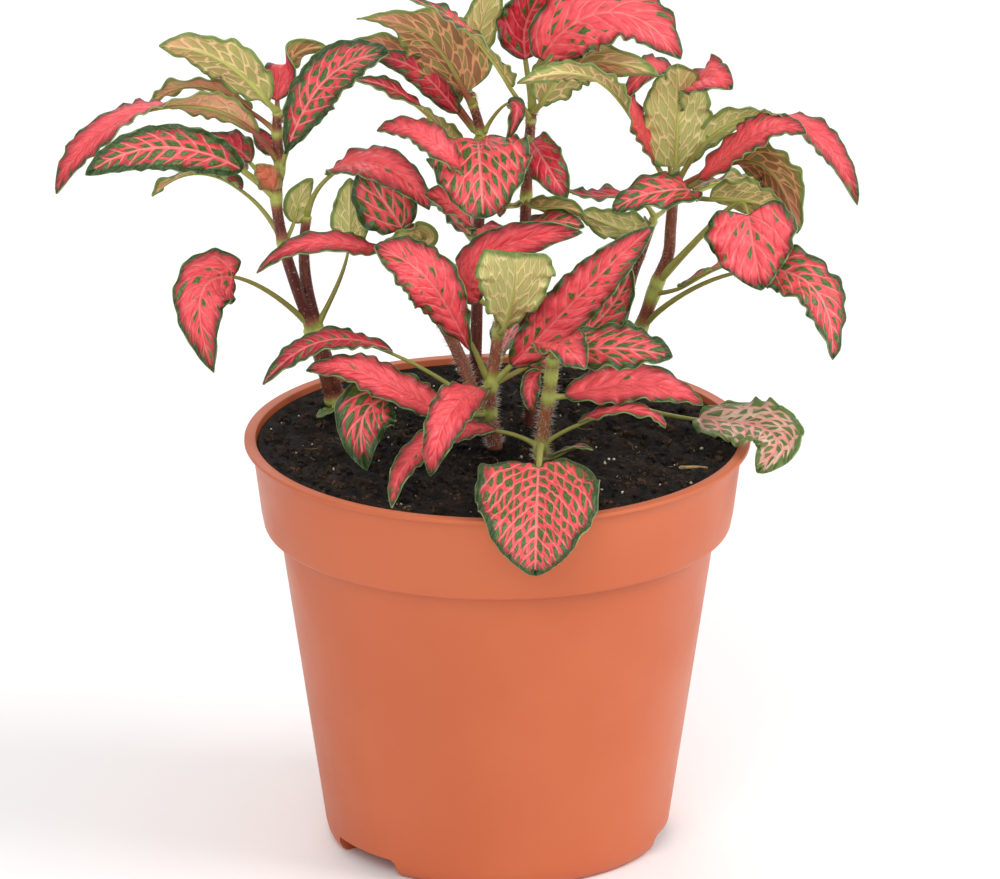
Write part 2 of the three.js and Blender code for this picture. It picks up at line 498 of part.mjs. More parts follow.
/** The pot before its openings are cut. */
function potBlank() {
  const lipFoot = RIM_HEIGHT - LIP_THICKNESS;
  const shelf = COLLAR_FOOT_HEIGHT + WALL;
  const floor = FOOT_HEIGHT + FLOOR_THICKNESS;
  const outside = [
    [0, 0],
    [PAD_RADIUS, 0],
    [PAD_RADIUS + PAD_SLOPE, FOOT_HEIGHT],
    [FOOT_RADIUS - FOOT_RING_WIDTH - FOOT_RING_SLOPE, FOOT_HEIGHT],
    [FOOT_RADIUS - FOOT_RING_WIDTH, 0],
    [FOOT_RADIUS, 0],
    [FOOT_RADIUS + FOOT_FILLET, FOOT_FILLET_HEIGHT],
    [BODY_FOOT_RADIUS, BODY_FOOT_HEIGHT],
    [BODY_TOP_RADIUS, COLLAR_FOOT_HEIGHT],
    [COLLAR_FOOT_RADIUS - COLLAR_FILLET, COLLAR_FOOT_HEIGHT],
    [collarRadius(COLLAR_FOOT_HEIGHT + COLLAR_FILLET), COLLAR_FOOT_HEIGHT + COLLAR_FILLET],
    [collarRadius(lipFoot), lipFoot],
    [RIM_RADIUS, lipFoot],
    [RIM_RADIUS, RIM_HEIGHT - LIP_CHAMFER],
    [RIM_RADIUS - LIP_CHAMFER, RIM_HEIGHT],
  ];
  const inside = [
    [collarRadius(RIM_HEIGHT) - WALL, RIM_HEIGHT],
    [collarRadius(shelf) - WALL, shelf],
    [bodyRadius(shelf) - WALL, shelf],
    [bodyRadius(floor) - WALL, floor + FLOOR_CORNER],
    [bodyRadius(floor) - WALL - FLOOR_CORNER, floor],
    [PAD_RADIUS - PAD_INSET, floor],
    [PAD_RADIUS - PAD_INSET - PAD_SLOPE, FLOOR_THICKNESS],
    [0, FLOOR_THICKNESS],
  ];
  return solidOf(turned([...outside, ...inside], POT_SIDES));
}

/** A wedge that cuts one notch through the foot ring, with a rounded roof. */
function notchCutter(bearing) {
  const half = THREE.MathUtils.degToRad(NOTCH_ANGLE / 2);
  const width = 2 * FOOT_RADIUS * Math.sin(half);
  const reach = width / 2 - NOTCH_CORNER;
  const level = NOTCH_ROOF - NOTCH_CORNER;
  const outline = new THREE.Shape();
  outline.moveTo(-width / 2, -NOTCH_CORNER);
  outline.lineTo(width / 2, -NOTCH_CORNER);
  outline.lineTo(width / 2, level);
  outline.absarc(reach, level, NOTCH_CORNER, 0, Math.PI / 2);
  outline.absarc(-reach, level, NOTCH_CORNER, Math.PI / 2, Math.PI);
  const settings = { depth: NOTCH_DEPTH, bevelEnabled: false, curveSegments: 3 };
  const cutter = new THREE.ExtrudeGeometry(outline, settings);
  cutter.translate(0, 0, NOTCH_START);
  cutter.rotateX(Math.PI / 2);
  cutter.rotateZ(THREE.MathUtils.degToRad(bearing));
  return solidOf(cutter);
}

/** The pot, with its foot notches and drain holes. */
function pot() {
  const cutters = NOTCH_BEARINGS.map(notchCutter);
  for (let hole = 0; hole < DRAIN_COUNT; hole += 1) {
    const angle = ((hole + 0.5) / DRAIN_COUNT) * Math.PI * 2;
    const drill = new THREE.CylinderGeometry(DRAIN_RADIUS, DRAIN_RADIUS, DRILL_LENGTH, DRAIN_SIDES);
    drill.rotateX(Math.PI / 2);
    drill.translate(Math.cos(angle) * DRAIN_CIRCLE, Math.sin(angle) * DRAIN_CIRCLE, FOOT_HEIGHT);
    cutters.push(solidOf(drill));
  }
  return geometryFrom(potBlank().subtract(wasm.Manifold.union(cutters)));
}

/** The height of the soil's uneven surface. */
function soilSurface(x, y) {
  const reach = Math.hypot(x, y) / RIM_RADIUS;
  const rise = (SOIL_EDGE_HEIGHT - SOIL_MIDDLE_HEIGHT) * reach ** 3;
  const bumps = Math.sin(x * 0.31 + 1.2) * Math.cos(y * 0.27) + 0.6 * Math.sin(x * 0.13 - y * 0.36 + 0.5);
  return SOIL_MIDDLE_HEIGHT + rise + SOIL_BUMP * bumps;
}

/** The soil, which fills the pot and has a plain hole for the foot of each shoot. */
function soil() {
  const shelf = COLLAR_FOOT_HEIGHT + WALL + GAP;
  const floor = FOOT_HEIGHT + FLOOR_THICKNESS + GAP;
  const surfaceStart = SOIL_EDGE_HEIGHT + SOIL_CORNER;
  const profile = [
    [0, FLOOR_THICKNESS + GAP],
    [PAD_RADIUS - PAD_INSET - PAD_SLOPE - PAD_GAP, FLOOR_THICKNESS + GAP],
    [PAD_RADIUS - PAD_INSET - PAD_GAP, floor],
    [bodyRadius(floor) - WALL - GAP - SOIL_CORNER, floor],
    [bodyRadius(floor) - WALL - GAP, floor + SOIL_CORNER],
    [bodyRadius(shelf) - WALL - GAP, shelf],
    [collarRadius(shelf) - WALL - GAP, shelf],
    [collarRadius(SOIL_EDGE_HEIGHT) - WALL - GAP, SOIL_EDGE_HEIGHT],
    ...SOIL_RINGS.map((radius) => [radius, surfaceStart]),
    [0, surfaceStart],
  ];
  const geometry = turned(profile, SOIL_SIDES);
  const place = geometry.attributes.position;
  for (let corner = 0; corner < place.count; corner += 1) {
    if (place.getZ(corner) > SOIL_EDGE_HEIGHT + SOIL_CORNER / 2) {
      place.setZ(corner, soilSurface(place.getX(corner), place.getY(corner)));
    }
  }
  const holes = Object.values(SHOOTS).map(({ stems }) => {
    const [places, footRadius] = stems[0];
    const foot = seen(places[0]);
    const radius = footRadius + HOLE_GAP;
    const hole = new THREE.CylinderGeometry(radius, radius, STEM_DEPTH * 2, HOLE_SIDES);
    hole.rotateX(Math.PI / 2);
    return solidOf(hole.translate(foot.x, foot.y, foot.z - GAP));
  });
  return geometryFrom(solidOf(geometry).subtract(wasm.Manifold.union(holes)));
}

// ---------------------------------------------------------------- the model

const finishes = {
  pot: new THREE.MeshStandardMaterial({ color: 0xcd7050, roughness: 0.55, metalness: 0 }),
  soil: new THREE.MeshStandardMaterial({ color: 0x2a201b, roughness: 0.95, metalness: 0 }),
  leaf: new THREE.MeshStandardMaterial({ color: 0xd9545f, roughness: 0.5, metalness: 0 }),
};

const plant = new THREE.Group();

/** Adds one named piece to the plant. */
function addPiece(name, geometry, finish) {
  const mesh = new THREE.Mesh(geometry, finish);
  mesh.name = name;
  plant.add(mesh);
}

addPiece('pot', pot(), finishes.pot);
addPiece('soil', soil(), finishes.soil);
Object.entries(SHOOTS).forEach(([name, description]) => addPiece(name, shoot(description), finishes.leaf));

export default plant;
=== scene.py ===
"""A potted nerve plant: pink, green-netted leaves on hairy stems, in a round nursery pot filled with soil.

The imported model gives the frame. This script dresses it: the pot is spun anew with a fine lip, the soil gets
crumbs, pale specks and a dry twig, and each shoot gets thin waved leaves, stalks, stems with green nodes, and
hairs. Lengths are in millimetres up to the last step of each piece, which brings it to metres.
"""

import logging
import math
from abc import ABC, abstractmethod
from collections.abc import Callable
from dataclasses import dataclass
from enum import Enum

import bpy
import numpy as np
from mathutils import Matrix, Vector


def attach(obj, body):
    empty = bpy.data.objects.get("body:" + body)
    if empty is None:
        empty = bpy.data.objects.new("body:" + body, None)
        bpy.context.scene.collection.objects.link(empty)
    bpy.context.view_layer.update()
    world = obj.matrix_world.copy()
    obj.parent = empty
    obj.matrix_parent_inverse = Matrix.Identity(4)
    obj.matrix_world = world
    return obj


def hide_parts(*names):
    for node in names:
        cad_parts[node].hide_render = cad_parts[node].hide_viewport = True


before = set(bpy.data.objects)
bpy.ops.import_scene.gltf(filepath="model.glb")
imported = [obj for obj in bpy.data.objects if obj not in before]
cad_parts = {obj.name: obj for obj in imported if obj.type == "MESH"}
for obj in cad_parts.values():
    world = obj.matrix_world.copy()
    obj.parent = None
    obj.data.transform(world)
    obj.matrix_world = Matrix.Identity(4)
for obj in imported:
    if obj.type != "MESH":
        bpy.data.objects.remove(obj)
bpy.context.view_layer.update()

LOG = logging.getLogger("nerve_plant")

MM = 0.001
RIM_HEIGHT = 99.6
VIEW_ELEVATION = math.radians(19.4)
BODY = "root"
SOIL_SEED = 11
FIRST_SHOOT_SEED = 100
STEM_RINGS = 90
STALK_RINGS = 26

# ODD_WAY is a direction that no stem or stalk takes.
ODD_WAY = (0.31, -0.83, 0.47)
UPWARDS = (0, 0, 1)

Place = tuple[float, float, float]
Span = tuple[float, float]
Colour = tuple[int, int, int]
Piece = bpy.types.Object
Finish = bpy.types.Material
Socket = bpy.types.NodeSocket
Value = Socket | float | tuple | None


# ---------------------------------------------------------------- small helpers


def linear(colour: Colour) -> tuple[float, float, float, float]:
    """Turn a screen colour into the linear colour that shaders use.

    Args:
        colour: red, green and blue from 0 to 255.

    Returns:
        Linear red, green, blue and an alpha of 1.
    """
    shares = [part / 255 for part in colour]
    red, green, blue = (s / 12.92 if s <= 0.04045 else ((s + 0.055) / 1.055) ** 2.4 for s in shares)
    return red, green, blue, 1.0


def unit(vectors: np.ndarray) -> np.ndarray:
    """Scale each row to length one."""
    return vectors / np.maximum(np.linalg.norm(vectors, axis=-1, keepdims=True), 1e-9)


def seen(place: Place) -> np.ndarray:
    """Find the point that a place stands for.

    Args:
        place: millimetres to the right of the pot's axis, above the middle of the rim as seen from the front,
            and behind the axis.

    Returns:
        The point's x, y and z in millimetres.
    """
    across, up, depth = place
    height = (up - depth * math.sin(VIEW_ELEVATION)) / math.cos(VIEW_ELEVATION)
    return np.array([across, depth, RIM_HEIGHT + height])


def smoothstep(low: float, high: float, value: np.ndarray) -> np.ndarray:
    """Ease from 0 at the low value to 1 at the high value."""
    share = np.clip((value - low) / (high - low), 0, 1)
    return share * share * (3 - 2 * share)


def select_only(piece: Piece) -> None:
    """Deselect everything, then select one piece and make it active."""
    bpy.ops.object.select_all(action="DESELECT")
    piece.select_set(True)
    bpy.context.view_layer.objects.active = piece


def points_of(piece: Piece) -> np.ndarray:
    """Read a mesh's points, one row each."""
    flat = np.empty(len(piece.data.vertices) * 3)
    piece.data.vertices.foreach_get("co", flat)
    return flat.reshape(-1, 3)


def set_points(piece: Piece, points: np.ndarray) -> None:
    """Move a mesh's points to new places, one row each."""
    piece.data.vertices.foreach_set("co", points.astype(np.float32).ravel())
    piece.data.update()


def copy_of(pattern: Piece, name: str) -> Piece:
    """Copy a pattern piece, with a mesh of the copy's own."""
    piece = pattern.copy()
    piece.data = pattern.data.copy()
    piece.name = name
    bpy.context.collection.objects.link(piece)
    return piece


def keep_values(piece: Piece, name: str, values: np.ndarray) -> None:
    """Store one number, three numbers or a colour for each point of a mesh.

    Args:
        piece: the mesh piece.
        name: the attribute's name, which its material reads.
        values: one row for each point, with no, three or four columns.
    """
    kinds = {1: ("FLOAT", "value"), 3: ("FLOAT_VECTOR", "vector"), 4: ("FLOAT_COLOR", "color")}
    columns = 1 if values.ndim == 1 else values.shape[1]
    kind, field = kinds[columns]
    attribute = piece.data.attributes.new(name, kind, "POINT")
    attribute.data.foreach_set(field, values.astype(np.float32).ravel())


def join(pieces: list[Piece], name: str) -> Piece:
    """Join pieces into one mesh piece."""
    select_only(pieces[0])
    for piece in pieces[1:]:
        piece.select_set(True)
    bpy.ops.object.join()
    joined = bpy.context.view_layer.objects.active
    joined.name = name
    joined.data.name = name
    return joined


def apply_modifier(piece: Piece, kind: str, **settings: object) -> None:
    """Add a modifier with its settings and apply it."""
    select_only(piece)
    modifier = piece.modifiers.new(kind.lower(), kind)
    for setting, value in settings.items():
        setattr(modifier, setting, value)
    bpy.ops.object.modifier_apply(modifier=modifier.name)


def new_piece(name: str, points: object, edges: list, faces: list) -> Piece:
    """Make a piece from its points and its edges or faces."""
    mesh = bpy.data.meshes.new(name)
    mesh.from_pydata(points, edges, faces)
    piece = bpy.data.objects.new(name, mesh)
    bpy.context.collection.objects.link(piece)
    return piece


def taken_shape(piece: Piece) -> tuple[np.ndarray, np.ndarray]:
    """Read the points and faces of a small shape, and delete it."""
    points = points_of(piece)
    faces = np.array([tuple(face.vertices) for face in piece.data.polygons])
    bpy.data.objects.remove(piece)
    return points, faces


def many_of(name: str, copies: list[np.ndarray], faces: np.ndarray) -> Piece:
    """Make one piece of many copies of a small shape.

    Args:
        name: the new piece's name.
        copies: the points of each copy.
        faces: the faces of the shape.

    Returns:
        The piece.
    """
    polygons = [faces + order * len(copies[0]) for order in range(len(copies))]
    return new_piece(name, np.concatenate(copies), [], np.concatenate(polygons).tolist())


def dress(piece: Piece, finish: Finish) -> None:
    """Give a piece one material all over."""
    piece.data.materials.clear()
    piece.data.materials.append(finish)


def edit_edges(piece: Piece, wanted: Callable[[object, object], bool]) -> None:
    """Open a piece for editing with some of its edges selected.

    Args:
        piece: the piece, which has to be the active one.
        wanted: says of an edge's two ends whether to select it.
    """
    bpy.ops.object.mode_set(mode="EDIT")
    bpy.ops.mesh.select_mode(type="EDGE")
    bpy.ops.mesh.select_all(action="DESELECT")
    bpy.ops.object.mode_set(mode="OBJECT")
    for edge in piece.data.edges:
        one, other = (piece.data.vertices[end].co for end in edge.vertices)
        edge.select = wanted(one, other)
    bpy.ops.object.mode_set(mode="EDIT")


def upright_rod(sides: int) -> Piece:
    """Add a rod of radius one and height one that stands on the origin."""
    bpy.ops.mesh.primitive_cylinder_add(vertices=sides, radius=1, depth=1, location=(0, 0, 0.5))
    bpy.ops.object.transform_apply(location=True)
    return bpy.context.active_object


def turning(angle: float) -> np.ndarray:
    """Make the matrix that turns rows of points round the Z axis."""
    sine, cosine = math.sin(angle), math.cos(angle)
    return np.array([[cosine, -sine, 0], [sine, cosine, 0], [0, 0, 1]]).T


def cross_section(tangent: np.ndarray, away: Place = ODD_WAY) -> tuple[np.ndarray, np.ndarray]:
    """Find two directions square to each tangent and to each other.

    Args:
        tangent: the directions of a curve, one row each.
        away: a direction that the curve doesn't take.

    Returns:
        The two directions, one row for each tangent.
    """
    across = unit(np.cross(tangent, away))
    return across, np.cross(tangent, across)


def hand_over(piece: Piece, slot: str, *nodes: str) -> None:
    """Bring a finished piece to metres, let it ride on the plant and hide the CAD parts that it stands for.

    Args:
        piece: the piece, in millimetres.
        slot: not used.
        nodes: the CAD nodes that the piece stands for.
    """
    set_points(piece, points_of(piece) * MM)
    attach(piece, BODY)
    if nodes:
        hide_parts(*nodes)
    LOG.info("%s: %d faces", piece.name, len(piece.data.polygons))


# ---------------------------------------------------------------- finishes


class Graph:
    """Builds a material's nodes in short steps."""

    def __init__(self, name: str, roughness: float, specular: float = 0.5) -> None:
        """Start a material with one principled shader.

        Args:
            name: the material's name.
            roughness: the shader's roughness.
            specular: the shader's specular level.
        """
        self.material = bpy.data.materials.new(name)
        self.material.use_nodes = True
        self.nodes = self.material.node_tree.nodes
        self.links = self.material.node_tree.links
        self.shader = self.nodes["Principled BSDF"]
        self.shader.inputs["Roughness"].default_value = roughness
        self.shader.inputs["Specular IOR Level"].default_value = specular

    def feed(self, socket: Socket, value: Value) -> None:
        """Link a socket to another one, or set it to a fixed value."""
        if isinstance(value, Socket):
            self.links.new(value, socket)
        elif value is not None:
            socket.default_value = value

    def attribute(self, name: str) -> bpy.types.Node:
        """Read a value stored on the mesh."""
        node = self.nodes.new("ShaderNodeAttribute")
        node.attribute_name = name
        return node

    def place(self) -> Socket:
        """Read the point's place on the piece, in metres."""
        return self.nodes.new("ShaderNodeTexCoord").outputs["Object"]

    def math(self, operation: str, first: Value, second: Value) -> Socket:
        """Work out one sum from two values."""
        node = self.nodes.new("ShaderNodeMath")
        node.operation = operation
        for socket, value in zip(node.inputs, (first, second)):
            self.feed(socket, value)
        return node.outputs[0]

    def plus(self, first: Value, second: Value) -> Socket:
        """Add two values."""
        return self.math("ADD", first, second)

    def minus(self, first: Value, second: Value) -> Socket:
        """Take the second value from the first."""
        return self.math("SUBTRACT", first, second)

    def times(self, first: Value, second: Value) -> Socket:
        """Multiply two values."""
        return self.math("MULTIPLY", first, second)

    def most(self, first: Value, second: Value) -> Socket:
        """Take the greater of two values."""
        return self.math("MAXIMUM", first, second)

    def vector(self, operation: str, first: Value, second: Value = None, scale: Value = None) -> Socket:
        """Work out one sum with vectors."""
        node = self.nodes.new("ShaderNodeVectorMath")
        node.operation = operation
        self.feed(node.inputs[0], first)
        self.feed(node.inputs[1], second)
        self.feed(node.inputs[3], scale)
        return node.outputs[0]

    def split(self, colour: Value) -> tuple[Socket, Socket, Socket]:
        """Split a colour into its red, green and blue."""
        node = self.nodes.new("ShaderNodeSeparateColor")
        self.feed(node.inputs[0], colour)
        return node.outputs[0], node.outputs[1], node.outputs[2]

    def step(self, value: Value, low: Value, high: Value, start: float = 0, end: float = 1) -> Socket:
        """Ease from the start value at low to the end value at high."""
        node = self.nodes.new("ShaderNodeMapRange")
        node.interpolation_type = "SMOOTHSTEP"
        for socket, item in zip(node.inputs, (value, low, high, start, end)):
            self.feed(socket, item)
        return node.outputs[0]

    def mix(self, factor: Value, first: Value, second: Value) -> Socket:
        """Mix two colours. A colour from 0 to 255 is turned linear first."""
        node = self.nodes.new("ShaderNodeMix")
        node.data_type = "RGBA"
        self.feed(node.inputs["Factor"], factor)
        for socket, colour in ((node.inputs[6], first), (node.inputs[7], second)):
            self.feed(socket, linear(colour) if isinstance(colour, tuple) else colour)
        return node.outputs[2]

    def noise(self, vector: Value, scale: float, detail: float = 3, rough: float = 0.5) -> bpy.types.Node:
        """Add noise that follows the given coordinates."""
        node = self.nodes.new("ShaderNodeTexNoise")
        self.feed(node.inputs["Vector"], vector)
        node.inputs["Scale"].default_value = scale
        node.inputs["Detail"].default_value = detail
        node.inputs["Roughness"].default_value = rough
        return node

    def cloud(self, vector: Value, scale: float, detail: float = 3, rough: float = 0.5) -> Socket:
        """Read noise as one number, about 0.5 on the whole."""
        return self.noise(vector, scale, detail, rough).outputs["Fac"]

    def bump(self, height: Value, depth: float, strength: float) -> Socket:
        """Turn a height into a bent normal, with the depth in metres."""
        node = self.nodes.new("ShaderNodeBump")
        node.inputs["Distance"].default_value = depth
        node.inputs["Strength"].default_value = strength
        self.feed(node.inputs["Height"], height)
        return node.outputs[0]

    def finish(self, colour: Value, normal: Value = None, roughness: Value = None) -> Finish:
        """Link the colour, the normal and the roughness to the shader.

        Returns:
            The finished material.
        """
        self.feed(self.shader.inputs["Base Color"], colour)
        self.feed(self.shader.inputs["Normal"], normal)
        self.feed(self.shader.inputs["Roughness"], roughness)
        return self.material


class LeafGraph(Graph):
    """Builds a leaf's material on the net of veins that is stored on its blade.

    Attributes:
        wander: how many times a cell the net wanders, and how far.
        side_vein: from the core of a side vein to its edge, as shares of the space between two.
        side_vein_fade: from where a side vein is gone to where it is whole, in mm from the margin.
        midrib: from the core of the midrib to its edge, in mm.
        randomness: how uneven the cells of the net are.
    """

    wander: Span = (1.3, 0.42)
    side_vein: Span = (0.035, 0.13)
    side_vein_fade: Span = (0.4, 2.4)
    side_vein_strength: float = 0.8
    midrib: Span = (0.18, 0.5)
    randomness: float = 0.8

    def __init__(self, name: str, roughness: float, specular: float) -> None:
        """Read the net, and draw its cells, its midrib and its side veins.

        Args:
            name: the material's name.
            roughness: the shader's roughness.
            specular: the shader's specular level.
        """
        super().__init__(name, roughness, specular)
        self.net = self.attribute("net").outputs["Vector"]
        self.rim = self.attribute("rim").outputs["Fac"]
        self.bent = self.wandering(self.net)
        self.vein = self.ribs()
        self.gap = self.cells("DISTANCE_TO_EDGE").outputs["Distance"]
        self.chance = self.split(self.cells("F1").outputs["Color"])

    def wandering(self, vector: Value) -> Socket:
        """Let coordinates wander a little, so that what follows them isn't regular."""
        scale, distance = self.wander
        drift = self.vector("SUBTRACT", self.noise(vector, scale, 2).outputs["Color"], (0.5, 0.5, 0.5))
        return self.vector("ADD", vector, self.vector("SCALE", drift, scale=distance))

    def ribs(self) -> Socket:
        """Draw the midrib and the side veins. The net counts the side veins along X."""
        parts = self.nodes.new("ShaderNodeSeparateXYZ")
        self.feed(parts.inputs[0], self.bent)
        side_vein = self.step(self.math("PINGPONG", parts.outputs[0], 0.5), *self.side_vein, 1, 0)
        side_vein = self.times(side_vein, self.step(self.rim, *self.side_vein_fade))
        midrib = self.step(self.attribute("aside").outputs["Fac"], *self.midrib, 1, 0)
        return self.most(midrib, self.times(side_vein, self.side_vein_strength))

    def cells(self, feature: str) -> bpy.types.Node:
        """Add the cells of the net."""
        node = self.nodes.new("ShaderNodeTexVoronoi")
        node.feature = feature
        node.voronoi_dimensions = "2D"
        self.feed(node.inputs["Vector"], self.bent)
        node.inputs["Scale"].default_value = 1
        node.inputs["Randomness"].default_value = self.randomness
        return node


@dataclass(frozen=True)
class LeafTop:
    """The upper side of a leaf: coral pink with paler veins, green islands and a green margin.

    Attributes:
        island_gap: how far an island keeps from the net, in cells, on a leaf with few and with many.
        island_edge: how wide an island's soft edge is, and how much its gap varies.
        island_share: how many cells a fully netted leaf gives an island.
        redness: from where the clouds leave the flesh pink to where they turn it red.
        dark_streaks: from where streaks begin to where they are darkest.
        pale_streaks: from where streaks are palest to where they end.
        streak_stretch: how streaks are drawn out across and along the side veins.
        margin_wander: how far the margin wanders, in mm.
        margin_band: from the whole green margin to its end, in mm.
        crimson_band: from the deepest crimson beside the margin to its end, in mm.
        edge_band: from the pale edge to its end, in mm.
        laced_from: from where greenness doesn't show as lace to where it does.
        young_from: from where greenness doesn't show as youth to where it does.
    """

    pink: Colour = (248, 88, 94)
    red: Colour = (204, 36, 56)
    crimson: Colour = (136, 26, 36)
    vein: Colour = (248, 150, 146)
    island: Colour = (50, 82, 36)
    island_light: Colour = (104, 128, 58)
    margin: Colour = (40, 68, 30)
    edge: Colour = (150, 168, 108)
    young: Colour = (212, 180, 96)
    lace: Colour = (226, 200, 176)
    island_gap: Span = (0.26, 0.11)
    island_edge: float = 0.07
    island_share: float = 1.35
    redness: Span = (0.25, 0.95)
    dark_streaks: Span = (0.46, 0.72)
    pale_streaks: Span = (0.3, 0.44)
    streak_stretch: Place = (3.2, 0.7, 1)
    margin_wander: float = 2.6
    margin_band: Span = (-0.45, 0.3)
    crimson_band: Span = (-0.3, 2.2)
    edge_band: Span = (0.0, 0.2)
    laced_from: Span = (0.7, 0.8)
    young_from: Span = (0.4, 0.6)
    relief_depth: float = 0.0004

    def build(self) -> Finish:
        """Build the material from the values stored on each leaf."""
        g = LeafGraph("leaf_top", roughness=0.4, specular=0.46)
        look = g.attribute("look")
        # depth is the leaf's depth of red: its own red, and painted shade on leaves in shade.
        islands, depth, green = g.split(look.outputs["Color"])
        fine, broad = g.cloud(g.net, 6), g.cloud(g.net, 0.6, 2)
        laced = g.step(green, *self.laced_from)
        wander = g.times(g.minus(g.cloud(g.net, 1.4), 0.5), self.margin_wander)
        inside = g.minus(g.plus(g.rim, wander), look.outputs["Alpha"])
        colour = self.flesh(g, broad, depth)
        colour = g.mix(g.step(inside, *self.crimson_band, 0.85, 0), colour, self.crimson)
        colour = g.mix(g.times(laced, g.step(broad, 0.3, 0.7, 0.95, 0.5)), colour, self.lace)
        colour = g.mix(g.times(g.vein, g.step(islands, 0, 0.8, 0.14, 0.75)), colour, self.vein)
        leafy = self.leafy(g, self.island, g.step(fine, 0.35, 0.7), laced)
        colour = g.mix(self.island_mask(g, islands), colour, leafy)
        leafy = self.leafy(g, self.margin, g.step(fine, 0.45, 0.8, 0, 0.7), laced)
        colour = g.mix(g.step(inside, *self.margin_band, 1, 0), colour, leafy)
        young = g.times(g.minus(g.step(green, *self.young_from), laced), 0.3)
        colour = g.mix(young, colour, self.young)
        colour = g.mix(g.step(g.rim, *self.edge_band, 0.7, 0), colour, self.edge)
        relief = g.minus(g.times(g.step(g.gap, 0, 0.3), 0.7), g.times(g.vein, 0.4))
        relief = g.plus(relief, g.times(fine, 0.35))
        return g.finish(colour, g.bump(relief, self.relief_depth, 0.8))

    def flesh(self, g: LeafGraph, broad: Socket, depth: Socket) -> Socket:
        """Colour the pink between the veins, with clouds and streaks of red and of pale pink, and redder where
        the leaf's depth of red is greater, which on leaves in shade is painted shade.
        """
        streaks = g.cloud(g.vector("MULTIPLY", g.bent, self.streak_stretch), 1, 3, 0.6)
        # The depth of red pushes the pink towards red: the leaf's own red, and painted shade on leaves in
        # shade.
        pink = g.mix(g.step(g.plus(broad, g.minus(depth, 0.35)), *self.redness), self.pink, self.red)
        pink = g.mix(g.step(streaks, *self.dark_streaks, 0, 0.5), pink, self.red)
        return g.mix(g.step(streaks, *self.pale_streaks, 0.25, 0), pink, self.vein)

    def island_mask(self, g: LeafGraph, share: Socket) -> Socket:
        """Find the green islands, which lie in some cells of the net and beside its veins."""
        least = g.plus(g.step(share, 0, 1, *self.island_gap), g.times(g.chance[1], self.island_edge))
        shown = g.step(g.gap, least, g.plus(least, self.island_edge))
        kept = g.step(g.minus(g.times(share, self.island_share), g.chance[0]), -0.02, 0.05)
        return g.times(g.times(shown, kept), g.minus(1, g.vein))

    def leafy(self, g: LeafGraph, green: Colour, freckles: Socket, laced: Socket) -> Socket:
        """Colour a green part, lighter in its freckles and on a laced leaf."""
        return g.mix(g.most(freckles, g.times(laced, 0.7)), green, self.island_light)


@dataclass(frozen=True)
class LeafUnderside:
    """The lower side of a leaf: olive cells between raised cream veins, some of them rusty or pink, and on
    rusty leaves a darker brown ground that is partly painted shade.

    Attributes:
        rust_cells: from the cells that stay brown to those that are rusty.
        rust_band: from where rust is faint to where it is full, in mm from the margin.
        line: from the core of the net's lines to their edge, in cells.
        flush: from where a leaf's tip begins to flush to where it is pink, as shares of the blade.
        blush_clouds: from where the clouds hide the blush to where they show it.
        margin_band: from the green margin to its end, in mm.
    """

    olive: Colour = (156, 160, 80)
    pale: Colour = (214, 212, 138)
    cream: Colour = (242, 220, 160)
    rust: Colour = (126, 74, 46)
    # brown: the darker ground of rusty undersides, partly their own colour and partly painted shade.
    brown: Colour = (112, 106, 50)
    amber: Colour = (208, 146, 92)
    blush: Colour = (238, 150, 130)
    margin: Colour = (104, 134, 62)
    rust_cells: Span = (0.5, 1.1)
    rust_band: Span = (0.8, 2.8)
    line: Span = (0.04, 0.13)
    flush: Span = (0.6, 0.95)
    blush_clouds: Span = (0.3, 0.65)
    margin_band: Span = (0.5, 1.3)
    relief_depth: float = 0.0003

    def build(self) -> Finish:
        """Build the material from the values stored on each leaf."""
        g = LeafGraph("leaf_underside", roughness=0.6, specular=0.3)
        under = g.attribute("under")
        rusty, pale, blush = g.split(under.outputs["Color"])
        fine, broad = g.cloud(g.net, 5), g.cloud(g.net, 0.5, 2)
        ground = g.mix(g.plus(g.times(fine, 0.5), g.times(pale, 0.25)), self.olive, self.pale)
        # Rustiness darkens the ground to brown: partly the leaf's own colour, partly painted shade.
        ground = g.mix(g.times(rusty, 0.85), ground, self.brown)
        red = g.times(rusty, g.step(g.plus(g.chance[0], broad), *self.rust_cells))
        ground = g.mix(g.times(red, g.step(g.rim, *self.rust_band, 0.25, 0.85)), ground, self.rust)
        lines = g.most(g.step(g.gap, *self.line, 0.9, 0), g.vein)
        web = g.mix(blush, g.mix(rusty, self.cream, self.amber), self.blush)
        colour = g.mix(lines, ground, g.mix(g.times(pale, 0.25), web, self.pale))
        flush = g.times(g.step(under.outputs["Alpha"], *self.flush, 0, 0.7), g.minus(1, pale))
        flush = g.times(g.most(blush, flush), g.step(broad, *self.blush_clouds))
        colour = g.mix(flush, colour, self.blush)
        colour = g.mix(g.step(g.rim, *self.margin_band, 0.85, 0), colour, self.margin)
        return g.finish(colour, g.bump(g.plus(lines, g.times(fine, 0.3)), self.relief_depth, 0.8))


